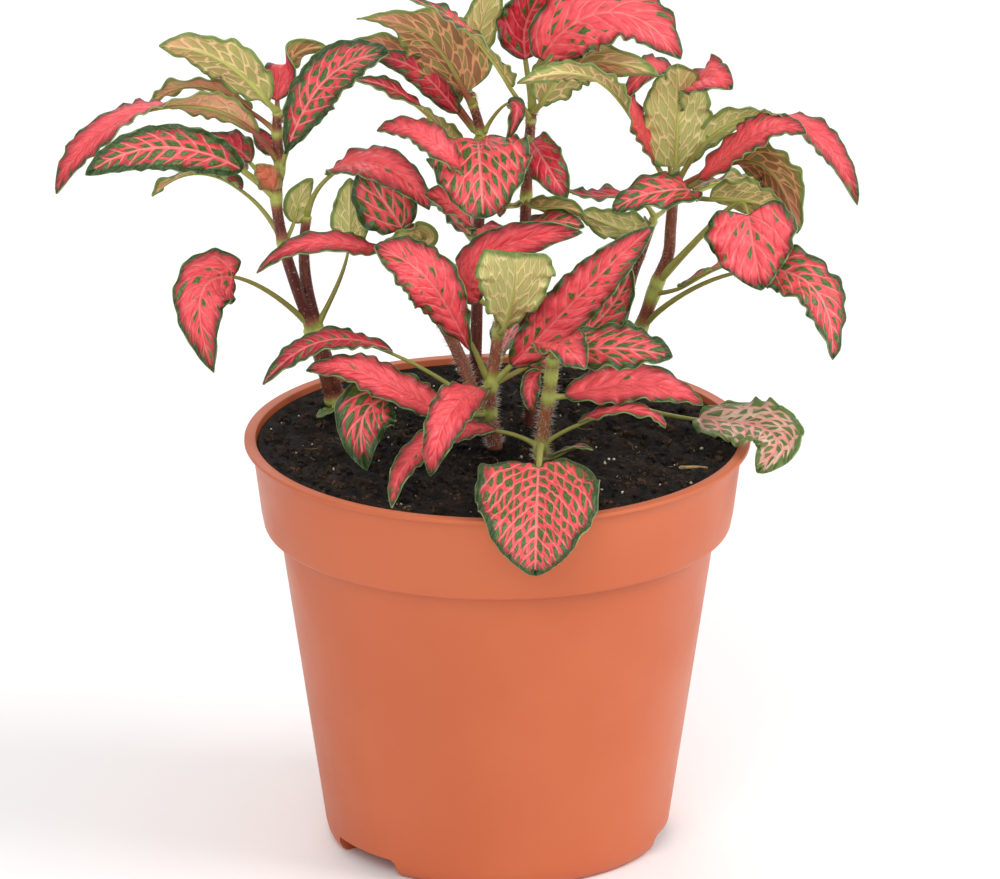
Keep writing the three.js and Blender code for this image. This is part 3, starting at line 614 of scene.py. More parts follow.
@dataclass(frozen=True)
class StemSkin:
    """The skin of stems and stalks, from dark red-brown through tan to the bright green of a node."""

    dark: Colour = (88, 34, 28)
    tan: Colour = (150, 88, 62)
    olive: Colour = (146, 142, 70)
    fresh: Colour = (176, 182, 92)
    ramp: tuple[float, ...] = (0.05, 0.4, 0.66, 0.95)
    relief_depth: float = 0.0002

    def build(self) -> Finish:
        """Build the material from the freshness stored on each stem."""
        g = Graph("stem_skin", roughness=0.5, specular=0.4)
        streaks = g.cloud(g.attribute("grain").outputs["Vector"], 1)
        fresh = g.attribute("fresh").outputs["Fac"]
        fresh = g.plus(fresh, g.times(g.minus(streaks, 0.5), 0.5))
        ramp = g.nodes.new("ShaderNodeValToRGB")
        while len(ramp.color_ramp.elements) < len(self.ramp):
            ramp.color_ramp.elements.new(0.5)
        colours = (self.dark, self.tan, self.olive, self.fresh)
        for element, position, colour in zip(ramp.color_ramp.elements, self.ramp, colours):
            element.position = position
            element.color = linear(colour)
        g.feed(ramp.inputs[0], fresh)
        return g.finish(ramp.outputs[0], g.bump(streaks, self.relief_depth, 0.6))


@dataclass(frozen=True)
class PotPlastic:
    """Satin terracotta plastic."""

    base: Colour = (192, 96, 57)
    warm: Colour = (197, 102, 63)
    grain_depth: float = 0.00004

    def build(self) -> Finish:
        """Build the material."""
        g = Graph("pot_plastic", roughness=0.42, specular=0.35)
        place = g.place()
        colour = g.mix(g.step(g.cloud(place, 22), 0.35, 0.7), self.base, self.warm)
        rough = g.step(g.cloud(place, 60, 4), 0.3, 0.75, 0.38, 0.5)
        return g.finish(colour, g.bump(g.cloud(place, 1400, 2), self.grain_depth, 0.5), rough)


@dataclass(frozen=True)
class Earth:
    """Dark moist peat."""

    name: str = "peat"
    dark: Colour = (12, 7, 5)
    brown: Colour = (64, 42, 28)
    grain: float = 700.0
    relief_depth: float = 0.0012

    def build(self) -> Finish:
        """Build the material."""
        g = Graph(self.name, roughness=0.85, specular=0.3)
        place = g.place()
        coarse = g.cloud(place, self.grain * 0.35, 4, 0.65)
        fine = g.cloud(place, self.grain, 4, 0.7)
        colour = g.mix(g.step(g.plus(coarse, g.times(fine, 0.4)), 0.6, 1.05), self.dark, self.brown)
        return g.finish(colour, g.bump(fine, self.relief_depth, 1))


@dataclass(frozen=True)
class PaleGrit:
    """A pale mineral or dry fibre, lightly stained."""

    name: str
    light: Colour
    stain: Colour
    rough: float = 0.8
    mottle: float = 900.0
    relief_depth: float = 0.0002

    def build(self) -> Finish:
        """Build the material."""
        g = Graph(self.name, roughness=self.rough, specular=0.3)
        mottle = g.cloud(g.place(), self.mottle, 4)
        colour = g.mix(g.step(mottle, 0.35, 0.7), self.light, self.stain)
        return g.finish(colour, g.bump(mottle, self.relief_depth, 0.6))


# ---------------------------------------------------------------- the plant's plan


class Face(Enum):
    """A way that a leaf's upper side may face."""

    FRONT = (0, -1, 0.3)
    FRONT_UP = (0, -0.6, 0.8)
    UP = (0, -0.1, 1)
    BACK_UP = (0, 0.6, 0.8)
    BACK = (0, 1, 0.3)
    LEFT_FRONT = (-0.6, -0.8, 0.4)
    RIGHT_FRONT = (0.6, -0.8, 0.4)
    RIGHT_BACK = (0.5, 0.9, 0.3)


class Top(Enum):
    """The look of a leaf's upper side: its islands, its depth of red, which on leaves in shade is painted
    shade, its greenness and its margin.
    """

    PLAIN = (0.08, 0.1, 0.0, 0.6)
    SPOTTED = (0.4, 0.15, 0.0, 0.8)
    NETTED = (0.75, 0.25, 0.0, 0.9)
    BOLD = (1.0, 0.2, 0.0, 1.5)
    # Deep red tops: partly the leaf's own red, partly painted shade on leaves that lie in shade.
    DEEP = (0.45, 0.75, 0.0, 0.8)
    YOUNG = (0.1, 0.1, 0.6, 0.6)
    LACED = (1.3, 0.0, 0.8, 1.4)
    GREEN = (1.2, 0.0, 1.0, 2.0)


class Under(Enum):
    """The look of a leaf's lower side: its rustiness, which also darkens its ground to brown, partly as
    painted shade, its paleness and its blush.
    """

    OLIVE = (0.15, 0.2, 0.1)
    PALE = (0.0, 0.9, 0.0)
    BLUSHED = (0.1, 0.4, 0.7)
    # Rusty undersides: their dark brown ground is partly their own colour and partly painted shade.
    RUSTY = (0.85, 0.0, 0.15)


class Outline(Enum):
    """A blade's outline: its fullness, how blunt its foot and tip are, and how far its lobes reach back."""

    OVAL = (1.81, 0.52, 0.7, 0.0)
    BROAD = (2.0, 0.42, 0.6, 0.06)
    LATE = (2.6, 0.9, 0.6, 0.0)
    FLARED = (1.7, 1.0, 0.2, 0.0)
    HEART = (2.05, 0.42, 0.8, 0.14)
    TAILED = (2.9, 0.5, 1.3, 0.0)


@dataclass(frozen=True)
class Stem:
    """A stem: its places from the ground up, and its radius at the foot and at the top."""

    places: list[Place]
    foot_radius: float
    top_radius: float


@dataclass(frozen=True)
class Leaf:
    """A leaf.

    Attributes:
        places: its foot, the places one third and two thirds along its midrib, and its tip.
        width: its full width.
        stalk: the share of its length that is bare stalk.
        face: the way its upper side faces.
        top: the look of its upper side.
        under: the look of its lower side.
        outline: its blade's outline.
        face_tip: the way its upper side faces at the tip, if it twists.
    """

    places: list[Place]
    width: float
    stalk: float
    face: Face
    top: Top
    under: Under = Under.OLIVE
    outline: Outline = Outline.OVAL
    face_tip: Face | None = None


@dataclass(frozen=True)
class Shoot:
    """A shoot.

    Attributes:
        name: its name, which is also its CAD node's.
        stems: its stems, the first of which stands in the soil.
        leaves: its leaves.
        hairs: how many hairs there are for each mm of stem, and their length.
        fresh: how green its stems are between the nodes, from 0 to 1.
    """

    name: str
    stems: list[Stem]
    leaves: list[Leaf]
    hairs: tuple[float, float] = (9.0, 1.2)
    fresh: float = 0.04


def back_leaf(places: list[Place], width: float, stalk: float) -> Leaf:
    """Plan a netted leaf that faces back and up, behind the stems."""
    return Leaf(places, width, stalk, Face.BACK_UP, Top.NETTED)


LEFT_SHOOT = Shoot(
    "left_shoot",
    stems=[
        Stem([(-37.5, 6.6, 27), (-38.6, 9, 27), (-41, 17, 26), (-44, 26, 24)], 2.7, 2.2),
        Stem([(-44, 25, 24), (-48, 36, 22), (-50.8, 45.6, 20), (-52.4, 56, 19), (-51.5, 64, 18),
              (-52.1, 71.6, 17), (-51.9, 77, 16)], 1.5, 1.1),
        Stem([(-43, 25, 24.5), (-45.4, 36, 25), (-46, 45, 26), (-45.3, 52.3, 26)], 1.6, 1.1),
    ],
    leaves=[
        Leaf([(-51.9, 76.5, 16), (-59, 84.3, 13), (-67.6, 89.7, 10), (-79.6, 91.8, 9)],
             15, 0.1, Face.BACK, Top.NETTED),
        Leaf([(-52.1, 71.7, 17), (-62.1, 80, 19), (-72.8, 82.8, 22), (-82.5, 78.3, 24)],
             11, 0.2, Face.BACK_UP, Top.PLAIN, Under.BLUSHED),
        Leaf([(-51.8, 64.6, 18), (-68.8, 77.9, 12), (-89.8, 73.9, 5), (-104, 57, 2)],
             13, 0.12, Face.BACK, Top.PLAIN, Under.BLUSHED, face_tip=Face.FRONT_UP),
        Leaf([(-52.4, 56, 19), (-66.2, 65.8, 10), (-82, 67.7, 2), (-96.9, 61.3, -2)],
             14, 0.2, Face.FRONT, Top.BOLD),
        Leaf([(-52.4, 57, 19), (-59.8, 66.5, 26), (-63.8, 68.9, 29), (-70.5, 71.5, 31)],
             11, 0.25, Face.FRONT_UP, Top.DEEP),
        Leaf([(-50.8, 45.6, 20), (-59.8, 58.2, 23), (-70.9, 62.5, 20), (-81.8, 56.8, 16)],
             12, 0.35, Face.FRONT_UP, Top.DEEP, face_tip=Face.BACK_UP),
        Leaf([(-51.6, 64, 18), (-53.6, 67.7, 21), (-55.5, 70.1, 23), (-57.6, 73.4, 24)],
             6, 0.2, Face.FRONT, Top.PLAIN, Under.PALE),
        Leaf([(-52.4, 56, 19), (-53.4, 59.4, 16), (-54.8, 61.8, 13), (-57.2, 63.9, 11)],
             8, 0.2, Face.FRONT, Top.YOUNG, Under.PALE),
        Leaf([(-51.9, 76.5, 16), (-51.7, 83.1, 18), (-48.6, 89.5, 22), (-40.1, 91.8, 26)],
             11, 0.15, Face.FRONT, Top.PLAIN, Under.RUSTY, face_tip=Face.BACK),
        Leaf([(-51.6, 62.5, 18), (-46.3, 75.5, 11), (-38.5, 85.5, 7), (-25.4, 90, 4)],
             13.4, 0.1, Face.FRONT, Top.BOLD, outline=Outline.LATE, face_tip=Face.FRONT_UP),
        Leaf([(-45.3, 52.3, 26), (-37.8, 63.7, 18), (-25.9, 63.2, 6), (-16, 53.3, 0)],
             12, 0.25, Face.UP, Top.PLAIN, face_tip=Face.FRONT),
        Leaf([(-50.8, 45.6, 20), (-48.4, 51.1, 24), (-47, 55.9, 27), (-43.9, 61.1, 30)],
             9, 0.3, Face.BACK, Top.PLAIN, Under.PALE),
        Leaf([(-43, 26, 24.5), (-36.6, 39.8, 22), (-34.9, 49.2, 20), (-34.9, 61.1, 18)],
             12, 0.5, Face.BACK, Top.PLAIN, Under.PALE),
        Leaf([(-44, 25.5, 24), (-59, 36.6, 14), (-69.4, 34.8, 5), (-67.1, 14.9, 2)],
             15.5, 0.42, Face.FRONT, Top.SPOTTED, outline=Outline.HEART),
        back_leaf([(-52.1, 71.6, 17), (-48.5, 76, 28), (-44, 80, 36), (-39.5, 80, 42)], 12, 0.2),
        back_leaf([(-52.4, 56, 19), (-62, 65, 31), (-71, 69, 38), (-79, 66, 43)], 12, 0.25),
        back_leaf([(-51.9, 76.5, 16), (-57, 82, 27), (-63, 86, 35), (-69, 87, 41)], 12, 0.2),
        Leaf([(-38.8, 9, 27), (-39.5, 6.5, 22), (-41, 5.6, 19), (-43, 4.4, 17)],
             4, 0.3, Face.UP, Top.GREEN, Under.PALE),
    ],
)


CENTRE_SHOOT = Shoot(
    "centre_shoot",
    stems=[
        Stem([(-6, 1.2, 14), (-5.6, 10, 14), (-5, 25, 13), (-4.6, 45, 13), (-4, 60, 12),
              (-3.9, 70.8, 12), (-5.8, 78.3, 11), (-6.3, 81, 11)], 1.7, 1.0),
    ],
    leaves=[
        Leaf([(-4.8, 71.7, 12), (-11.8, 82.3, 14), (-20.5, 89.6, 16), (-36, 92.4, 18)],
             13, 0.2, Face.BACK, Top.PLAIN, Under.RUSTY),
        Leaf([(-5.6, 72.2, 13), (-12.9, 80.6, 10), (-19.9, 86.8, 9), (-30.5, 89.4, 9)],
             9, 0.15, Face.FRONT, Top.DEEP, Under.RUSTY),
        Leaf([(-5.8, 78.3, 11), (-11, 87.6, 8), (-18.6, 95.2, 6), (-33, 98.2, 8)],
             20, 0.1, Face.BACK, Top.PLAIN, Under.RUSTY, Outline.TAILED),
        Leaf([(-6.3, 80, 11), (-6.3, 87.8, 14), (-3.7, 97.3, 16), (0.6, 109.1, 15)],
             11, 0.35, Face.BACK, Top.PLAIN, Under.PALE),
        Leaf([(-3, 71.7, 11), (1.3, 77.2, 7), (4.4, 77.6, 4), (2.2, 69.4, 3)],
             6, 0.45, Face.RIGHT_FRONT, Top.SPOTTED),
        Leaf([(-4, 65.3, 12), (-12.9, 72.9, 8), (-21.9, 80, 3), (-33.5, 83.6, -1)],
             9, 0.15, Face.BACK_UP, Top.DEEP, face_tip=Face.FRONT_UP),
        Leaf([(-4.4, 69.8, 10), (-4.4, 67.7, -2), (-3.9, 61.1, -12), (-3.4, 50.9, -16)],
             24, 0.1, Face.FRONT_UP, Top.NETTED, outline=Outline.BROAD, face_tip=Face.FRONT),
        Leaf([(-4.1, 58.2, 12), (-9, 63.2, -14), (-17.2, 70.5, -15), (-28.3, 71.5, -10)],
             10, 0.3, Face.FRONT_UP, Top.PLAIN),
        Leaf([(-4.5, 45, 13), (-6.5, 50, 4), (-11.2, 54.7, -2), (-17.2, 57, -4)],
             10, 0.3, Face.FRONT_UP, Top.PLAIN),
        back_leaf([(-4.6, 45, 13), (-8, 50, 27), (-13, 55, 38), (-19, 57, 47)], 13, 0.2),
        back_leaf([(-4, 60, 12), (-7, 64, 25), (-10, 67, 35), (-13, 66, 43)], 12, 0.2),
        Leaf([(-4.5, 45, 13), (-3.7, 49.2, 5), (-2.2, 46.9, 0), (-6.5, 44, -3)],
             10, 0.3, Face.FRONT_UP, Top.PLAIN),
    ],
)


TALL_SHOOT = Shoot(
    "tall_shoot",
    stems=[
        Stem([(8, 2.6, 18), (7.6, 10, 18), (6.5, 25, 17), (6.5, 44, 15), (6.8, 57, 14),
              (7.4, 67.7, 13), (7.9, 74.6, 12), (8.4, 76.9, 12)], 1.7, 1.1),
    ],
    leaves=[
        Leaf([(7.9, 74.6, 12), (0.6, 86.9, 3), (-8.2, 96.1, -2), (-20.9, 102.5, -3)],
             11, 0.2, Face.UP, Top.NETTED),
        Leaf([(8.4, 76.7, 12), (12.7, 82.4, 9), (20.8, 87.8, 9.5), (38, 85, 9.5)],
             16, 0.15, Face.BACK, Top.PLAIN),
        Leaf([(8.4, 76.7, 12), (11.2, 79.5, 14), (14.8, 83.1, 15), (21.4, 85.7, 15)],
             7, 0.2, Face.BACK, Top.PLAIN),
        Leaf([(8.4, 76.7, 12), (12.5, 92, 8), (26.5, 99.5, 5), (43.2, 88.5, 3)],
             23, 0.25, Face.FRONT, Top.SPOTTED, face_tip=Face.FRONT_UP),
        Leaf([(8.4, 76.7, 12), (6.3, 91.4, 14), (7.2, 98.5, 14), (12, 107.9, 10)],
             17, 0.25, Face.FRONT, Top.DEEP),
        Leaf([(7.2, 69.8, 13), (8.9, 68.2, 4), (12, 63, -4), (16.4, 55.9, -6)],
             12, 0.2, Face.FRONT, Top.DEEP),
        back_leaf([(6.5, 44, 15), (10, 48, 28), (15, 51, 38), (21, 52, 47)], 13, 0.2),
        Leaf([(7.4, 67.7, 13), (9.5, 68.5, 26), (11.5, 66, 36), (13, 60, 43)],
             10, 0.25, Face.BACK_UP, Top.NETTED, face_tip=Face.BACK),
        Leaf([(6.8, 57, 14), (10, 54.2, 8), (14.8, 54, 4), (20.7, 52, 2)], 8, 0.15, Face.BACK, Top.PLAIN),
        Leaf([(6.8, 57, 14), (4.1, 54.7, 6), (2, 54, 2), (0.6, 51.6, -1)], 7, 0.2, Face.BACK_UP, Top.PLAIN),
        Leaf([(6.5, 44, 15), (7.7, 49.2, 8), (13.6, 50.6, 2), (20.5, 49.2, 0)],
             9, 0.2, Face.FRONT_UP, Top.NETTED),
    ],
)


MIDDLE_SHOOT = Shoot(
    "middle_shoot",
    hairs=(24.0, 1.7),
    fresh=0.2,
    stems=[
        Stem([(-0.6, -3.5, 0), (-0.8, -1, 0), (-1.8, 5.4, -0.5), (-1.5, 12.1, -1), (0.1, 23.4, -2),
              (1.3, 31, -3)], 2.0, 1.2),
        Stem([(-1.9, 5.4, -0.5), (-5, 8.5, 1), (-8.6, 18, 4), (-12.4, 25.6, 6), (-17.9, 33.1, 8),
              (-23, 43, 9), (-22.4, 48.6, 9)], 1.7, 1.1),
    ],
    leaves=[
        Leaf([(-22.4, 48.3, 9), (-25, 53, 9), (-28.5, 58, 11), (-31, 64, 14)],
             19, 0.05, Face.FRONT, Top.BOLD),
        Leaf([(-22.4, 48.3, 9), (-18.5, 46.6, 4), (-22.5, 44.5, -1), (-28.5, 44, -3)],
             13, 0.1, Face.BACK, Top.PLAIN),
        Leaf([(-2.2, 13.3, -1), (-10.5, 28, -9), (-17.3, 37.8, -12), (-29, 44.5, -11)],
             14.5, 0.12, Face.LEFT_FRONT, Top.SPOTTED, outline=Outline.LATE, face_tip=Face.FRONT_UP),
        Leaf([(-22.6, 45, 9), (-31, 44.5, -2), (-43.2, 45.4, -7), (-56.7, 38.3, -8)],
             8, 0.2, Face.FRONT_UP, Top.PLAIN),
        back_leaf([(-1.5, 12.1, -1), (1.5, 21, 20), (6, 29, 36), (12, 31, 49)], 14, 0.3),
        Leaf([(-2.5, 6, 0), (-23.8, 19.6, -6), (-40.8, 22.3, -12), (-55.3, 12.1, -14)],
             9, 0.35, Face.UP, Top.DEEP, face_tip=Face.FRONT_UP),
        Leaf([(-1.8, 5.4, -0.5), (-17.2, 8, -10), (-30.7, 14.4, -14), (-45.1, 15.4, -14)],
             13, 0.15, Face.FRONT_UP, Top.PLAIN),
        Leaf([(-1.8, 5.4, -0.5), (-15, 8, -6), (-28.8, 7.8, -13), (-30.8, -8.2, -20)],
             15.5, 0.6, Face.FRONT_UP, Top.BOLD, outline=Outline.HEART, face_tip=Face.FRONT),
        Leaf([(-1.8, 12, -1), (-6.5, 10.4, -18), (-12, 3.8, -31), (-15.7, -9.5, -38)],
             13, 0.2, Face.FRONT_UP, Top.PLAIN, face_tip=Face.FRONT),
        Leaf([(0.4, 25, -2), (2, 27, -10), (3.6, 33.5, -17), (4.4, 43, -21)],
             18.5, 0.15, Face.BACK, Top.PLAIN, Under.PALE, Outline.FLARED),
        Leaf([(1.3, 30, -3), (-6.5, 35.7, -5), (0.6, 44, -9), (20, 47.8, -11)],
             14, 0.15, Face.LEFT_FRONT, Top.PLAIN, face_tip=Face.FRONT),
        Leaf([(-1.5, 12.1, -1), (11.2, 24.6, -8), (23.2, 37, -12), (36.8, 49.2, -14)],
             15, 0.12, Face.FRONT, Top.SPOTTED),
        Leaf([(-1.5, 12.1, -1), (13, 19.5, 4), (24.6, 28, 8), (31.6, 39.6, 9)],
             14, 0.2, Face.FRONT, Top.NETTED),
    ],
)


FRONT_SHOOT = Shoot(
    "front_shoot",
    hairs=(24.0, 1.7),
    fresh=0.32,
    stems=[
        Stem([(10.3, -7.2, -10.5), (10.3, -5, -10.6), (10.3, -2.8, -11), (11.2, 3.8, -12),
              (12.2, 10.2, -13), (13.1, 18.9, -14)], 1.9, 1.4),
    ],
    leaves=[
        Leaf([(10.1, -2.8, -11), (-4.1, 1.9, -13), (-17.9, -2.8, -25), (-24.7, -16.8, -48.5)],
             9, 0.25, Face.FRONT_UP, Top.PLAIN),
        Leaf([(10.3, -3.5, -11), (9.8, -4.6, -33), (9.2, -17, -58), (8.8, -32.7, -69)],
             31, 0.42, Face.UP, Top.BOLD, outline=Outline.HEART, face_tip=Face.FRONT),
        Leaf([(13.1, 18.7, -14), (21.9, 20.4, -20), (31.4, 20.4, -24), (41.1, 18.5, -26)],
             17, 0.1, Face.FRONT_UP, Top.BOLD),
        Leaf([(13.1, 18.7, -14), (13.6, 21.5, -22), (16, 20.8, -32), (20.7, 15.6, -38)],
             15, 0.1, Face.FRONT_UP, Top.SPOTTED),
        Leaf([(12.4, 9.3, -13), (24.3, 11.4, -12), (36.1, 12.1, -10), (48.6, 7.3, -8)],
             14, 0.1, Face.FRONT_UP, Top.PLAIN),
        Leaf([(10.8, -2, -11), (21.9, 4.5, -16), (32.5, 5.9, -18), (39.6, 1.9, -20)],
             8, 0.25, Face.UP, Top.PLAIN),
        Leaf([(10.5, -5, -11), (14.8, -3.8, -14), (18.3, -2.6, -17), (22.4, -3.3, -20)],
             4, 0.1, Face.UP, Top.DEEP),
        Leaf([(12.7, 14.4, -13), (8.9, 14.4, -6), (7.7, 10.4, -8), (8.4, 5.4, -9)],
             6, 0.2, Face.FRONT, Top.PLAIN),
    ],
)


RIGHT_SHOOT = Shoot(
    "right_shoot",
    fresh=0.14,
    stems=[
        Stem([(27, 7.8, 32), (27.6, 11, 32), (30.5, 18, 31), (33.7, 24.6, 30), (38.2, 36.9, 28),
              (40.6, 43.1, 27), (41.1, 49, 26), (41.8, 58.5, 25)], 1.9, 1.3),
    ],
    leaves=[
        Leaf([(41.5, 58, 25), (32.3, 75.3, 15), (21.9, 84.5, 3), (4.6, 82.8, -2)],
             12, 0.1, Face.RIGHT_FRONT, Top.PLAIN, face_tip=Face.BACK),
        Leaf([(41.8, 58.2, 25), (40.4, 74.8, 26), (38.5, 86.6, 20), (29.2, 78.8, 12)],
             10, 0.4, Face.FRONT_UP, Top.PLAIN),
        Leaf([(41.8, 58.2, 25), (43.5, 73, 27), (47, 83.3, 16), (55.5, 81.8, 9)],
             16, 0.45, Face.FRONT_UP, Top.PLAIN),
        Leaf([(41.8, 58.2, 25), (42.3, 67.7, 20), (42.6, 78, 17), (42.4, 87.8, 16)],
             16.5, 0.2, Face.BACK, Top.PLAIN, Under.PALE, Outline.BROAD),
        Leaf([(41.8, 58.2, 25), (57, 75, 16), (74, 72, 8), (84.9, 54.4, 4)],
             11.5, 0.1, Face.BACK, Top.PLAIN, Under.PALE, face_tip=Face.FRONT_UP),
        Leaf([(41.8, 57.5, 25), (53.1, 65.3, 12), (62.6, 72, 6), (72.8, 71, 3)],
             12, 0.15, Face.FRONT_UP, Top.PLAIN, Under.PALE),
        Leaf([(41.8, 58.2, 25), (55.7, 64.9, 20), (65, 62.5, 16), (71, 48, 14)],
             17, 0.35, Face.RIGHT_BACK, Top.PLAIN, Under.RUSTY),
        Leaf([(41.8, 57, 25), (54.5, 56.4, 15), (60.9, 55.4, 11), (68.6, 53, 9)],
             14, 0.2, Face.BACK, Top.NETTED),
        Leaf([(38.2, 36.9, 28), (54.6, 53.6, 13), (59.2, 51.8, 4), (62.4, 34.3, -2)],
             23, 0.66, Face.FRONT, Top.SPOTTED, outline=Outline.HEART),
        Leaf([(41.8, 57, 25), (45.6, 58.2, 14), (37.3, 57.5, 8), (27.1, 53, 6)],
             13, 0.25, Face.FRONT_UP, Top.NETTED),
        back_leaf([(41.8, 58.2, 25), (43, 68, 36), (42.5, 77, 44), (41, 84, 50)], 13, 0.2),
        back_leaf([(41.8, 57, 25), (50, 60, 38), (58, 61, 47), (66, 57, 54)], 14, 0.2),
        Leaf([(34.2, 25.5, 30), (50.8, 36.7, 18), (70.4, 38.1, 6), (79.4, 18, 2)],
             17, 0.5, Face.RIGHT_FRONT, Top.NETTED),
        Leaf([(37.2, 34, 28.5), (46.7, 37.6, 20), (56.2, 41, 14), (67.6, 36.2, 8)],
             8, 0.2, Face.UP, Top.PLAIN),
        Leaf([(27.5, 10, 32), (46, 4.6, 10), (63.3, 1.6, -10), (61, -8.5, -20)],
             15, 0.36, Face.FRONT_UP, Top.LACED, Under.PALE, Outline.BROAD),
    ],
)


REAR_SHOOT = Shoot(
    "rear_shoot",
    stems=[
        Stem([(21, 9.5, 37), (21.6, 12, 37), (25, 19, 36), (29.5, 26.7, 35), (32.1, 37.6, 34),
              (34.4, 43.8, 33), (37.3, 52.1, 32)], 1.6, 1.0),
    ],
    leaves=[
        Leaf([(37.3, 52.1, 32), (33.7, 48.8, 26), (27.1, 50, 20), (19.5, 53, 16)],
             12, 0.2, Face.BACK, Top.PLAIN, Under.PALE),
        back_leaf([(37.3, 52.1, 32), (40, 55.5, 42), (39, 57, 50), (35, 56, 57)], 11, 0.2),
        Leaf([(37.3, 52.1, 32), (32.8, 57, 28), (25.4, 57, 22), (16.2, 58.2, 18)],
             10, 0.2, Face.UP, Top.DEEP),
    ],
)


SHOOTS = [
    LEFT_SHOOT, CENTRE_SHOOT, TALL_SHOOT, MIDDLE_SHOOT,
    FRONT_SHOOT, RIGHT_SHOOT, REAR_SHOOT,
]


# ---------------------------------------------------------------- leaves, stems and hairs


class Curve(ABC):
    """A smooth curve, which is followed by shares of it from 0 to 1."""

    samples: int

    @abstractmethod
    def point(self, along: np.ndarray) -> np.ndarray:
        """Find the points at shares of the curve."""

    @abstractmethod
    def tangent(self, along: np.ndarray) -> np.ndarray:
        """Find the directions of the curve at shares of it."""

    def length(self) -> float:
        """Measure the curve."""
        points = self.point(np.linspace(0, 1, self.samples))
        return float(np.sum(np.linalg.norm(np.diff(points, axis=0), axis=1)))


@dataclass
class Midrib(Curve):
    """The curve of a leaf's midrib and the way its upper side faces along it."""

    leaf: Leaf
    samples: int = 60

    def __post_init__(self) -> None:
        """Find the control points of the cubic curve that passes through the leaf's four places."""
        foot, third, two_thirds, tip = (seen(place) for place in self.leaf.places)
        early = foot * (-5 / 6) + third * 3 - two_thirds * 1.5 + tip / 3
        late = foot / 3 - third * 1.5 + two_thirds * 3 - tip * (5 / 6)
        self.controls = (foot, early, late, tip)

    def point(self, along: np.ndarray) -> np.ndarray:
        """Find the points at shares of the curve."""
        t = along[:, None]
        foot, early, late, tip = self.controls
        return foot * (1 - t) ** 3 + early * 3 * t * (1 - t) ** 2 + late * 3 * t * t * (1 - t) + tip * t**3

    def tangent(self, along: np.ndarray) -> np.ndarray:
        """Find the directions of the curve at shares of it."""
        t = along[:, None]
        foot, early, late, tip = self.controls
        slope = (early - foot) * (1 - t) ** 2 + (late - early) * 2 * t * (1 - t) + (tip - late) * t * t
        return unit(slope)

    def normal(self, along: np.ndarray) -> np.ndarray:
        """Find the way the upper side faces at shares of the curve."""
        blend = (along * along * (3 - 2 * along))[:, None]
        start = np.array(self.leaf.face.value)
        end = np.array((self.leaf.face_tip or self.leaf.face).value)
        hint = start * (1 - blend) + end * blend
        tangent = self.tangent(along)
        return unit(hint - tangent * np.sum(hint * tangent, axis=1, keepdims=True))


@dataclass
class Route(Curve):
    """A smooth curve through a stem's places."""

    points: np.ndarray
    samples: int = 200
    tangent_step: float = 0.002

    def __post_init__(self) -> None:
        """Find the slope at each place."""
        self.slopes = np.gradient(self.points, axis=0)

    def point(self, along: np.ndarray) -> np.ndarray:
        """Find the points at shares of the curve."""
        spans = len(self.points) - 1
        span = np.clip((along * spans).astype(int), 0, spans - 1)
        t = (along * spans - span)[:, None]
        start, end = self.points[span], self.points[span + 1]
        leave, arrive = self.slopes[span], self.slopes[span + 1]
        return (
            start * (2 * t**3 - 3 * t**2 + 1)
            + leave * (t**3 - 2 * t**2 + t)
            + end * (3 * t**2 - 2 * t**3)
            + arrive * (t**3 - t**2)
        )

    def tangent(self, along: np.ndarray) -> np.ndarray:
        """Find the directions of the curve at shares of it."""
        low, high = np.clip(along - self.tangent_step, 0, 1), np.clip(along + self.tangent_step, 0, 1)
        return unit(self.point(high) - self.point(low))


@dataclass
class Patterns:
    """The pieces that are modelled once and then copied: a flat blade and a straight stem."""

    blade_across: int = 20
    blade_along: int = 64
    tube_sides: int = 14

    def blade(self, top: Finish, underside: Finish) -> Piece:
        """Model a flat blade as a grid from -1 to 1 across and from 0 to 1 along, dressed on both sides."""
        bpy.ops.mesh.primitive_grid_add(
            x_subdivisions=self.blade_across, y_subdivisions=self.blade_along, size=2
        )
        pattern = bpy.context.active_object
        points = points_of(pattern)
        points[:, 1] = (points[:, 1] + 1) / 2
        set_points(pattern, points)
        pattern.data.materials.append(top)
        pattern.data.materials.append(underside)
        return pattern

    def tube(self, rings: int) -> Piece:
        """Model a straight tube of radius one along +Z, with its rings evenly spaced from 0 to 1.

        Args:
            rings: how many times its sides are divided lengthways.

        Returns:
            The tube.
        """
        pattern = upright_rod(self.tube_sides)
        edit_edges(pattern, lambda one, other: one.z != other.z)
        bpy.ops.mesh.subdivide(number_cuts=rings - 1)
        bpy.ops.object.mode_set(mode="OBJECT")
        return pattern


@dataclass
class BladeGrid:
    """What is known of each point of a flat blade, one number each.

    Attributes:
        over: its place from -1 at one margin to 1 at the other.
        share: its share of the blade's length.
        forward: its distance along the blade.
        sign: -1 on one side of the midrib and 1 on the other.
        turns: the random turns that start the waves of this blade.
        reach: the half width beside it.
        aside: its distance from the midrib.
    """

    over: np.ndarray
    share: np.ndarray
    forward: np.ndarray
    sign: np.ndarray
    turns: np.ndarray
    reach: np.ndarray
    aside: np.ndarray

    def fullness(self, limit: float) -> np.ndarray:
        """Compare the half width with a limit, up to 1."""
        return np.minimum(1, self.reach / limit)


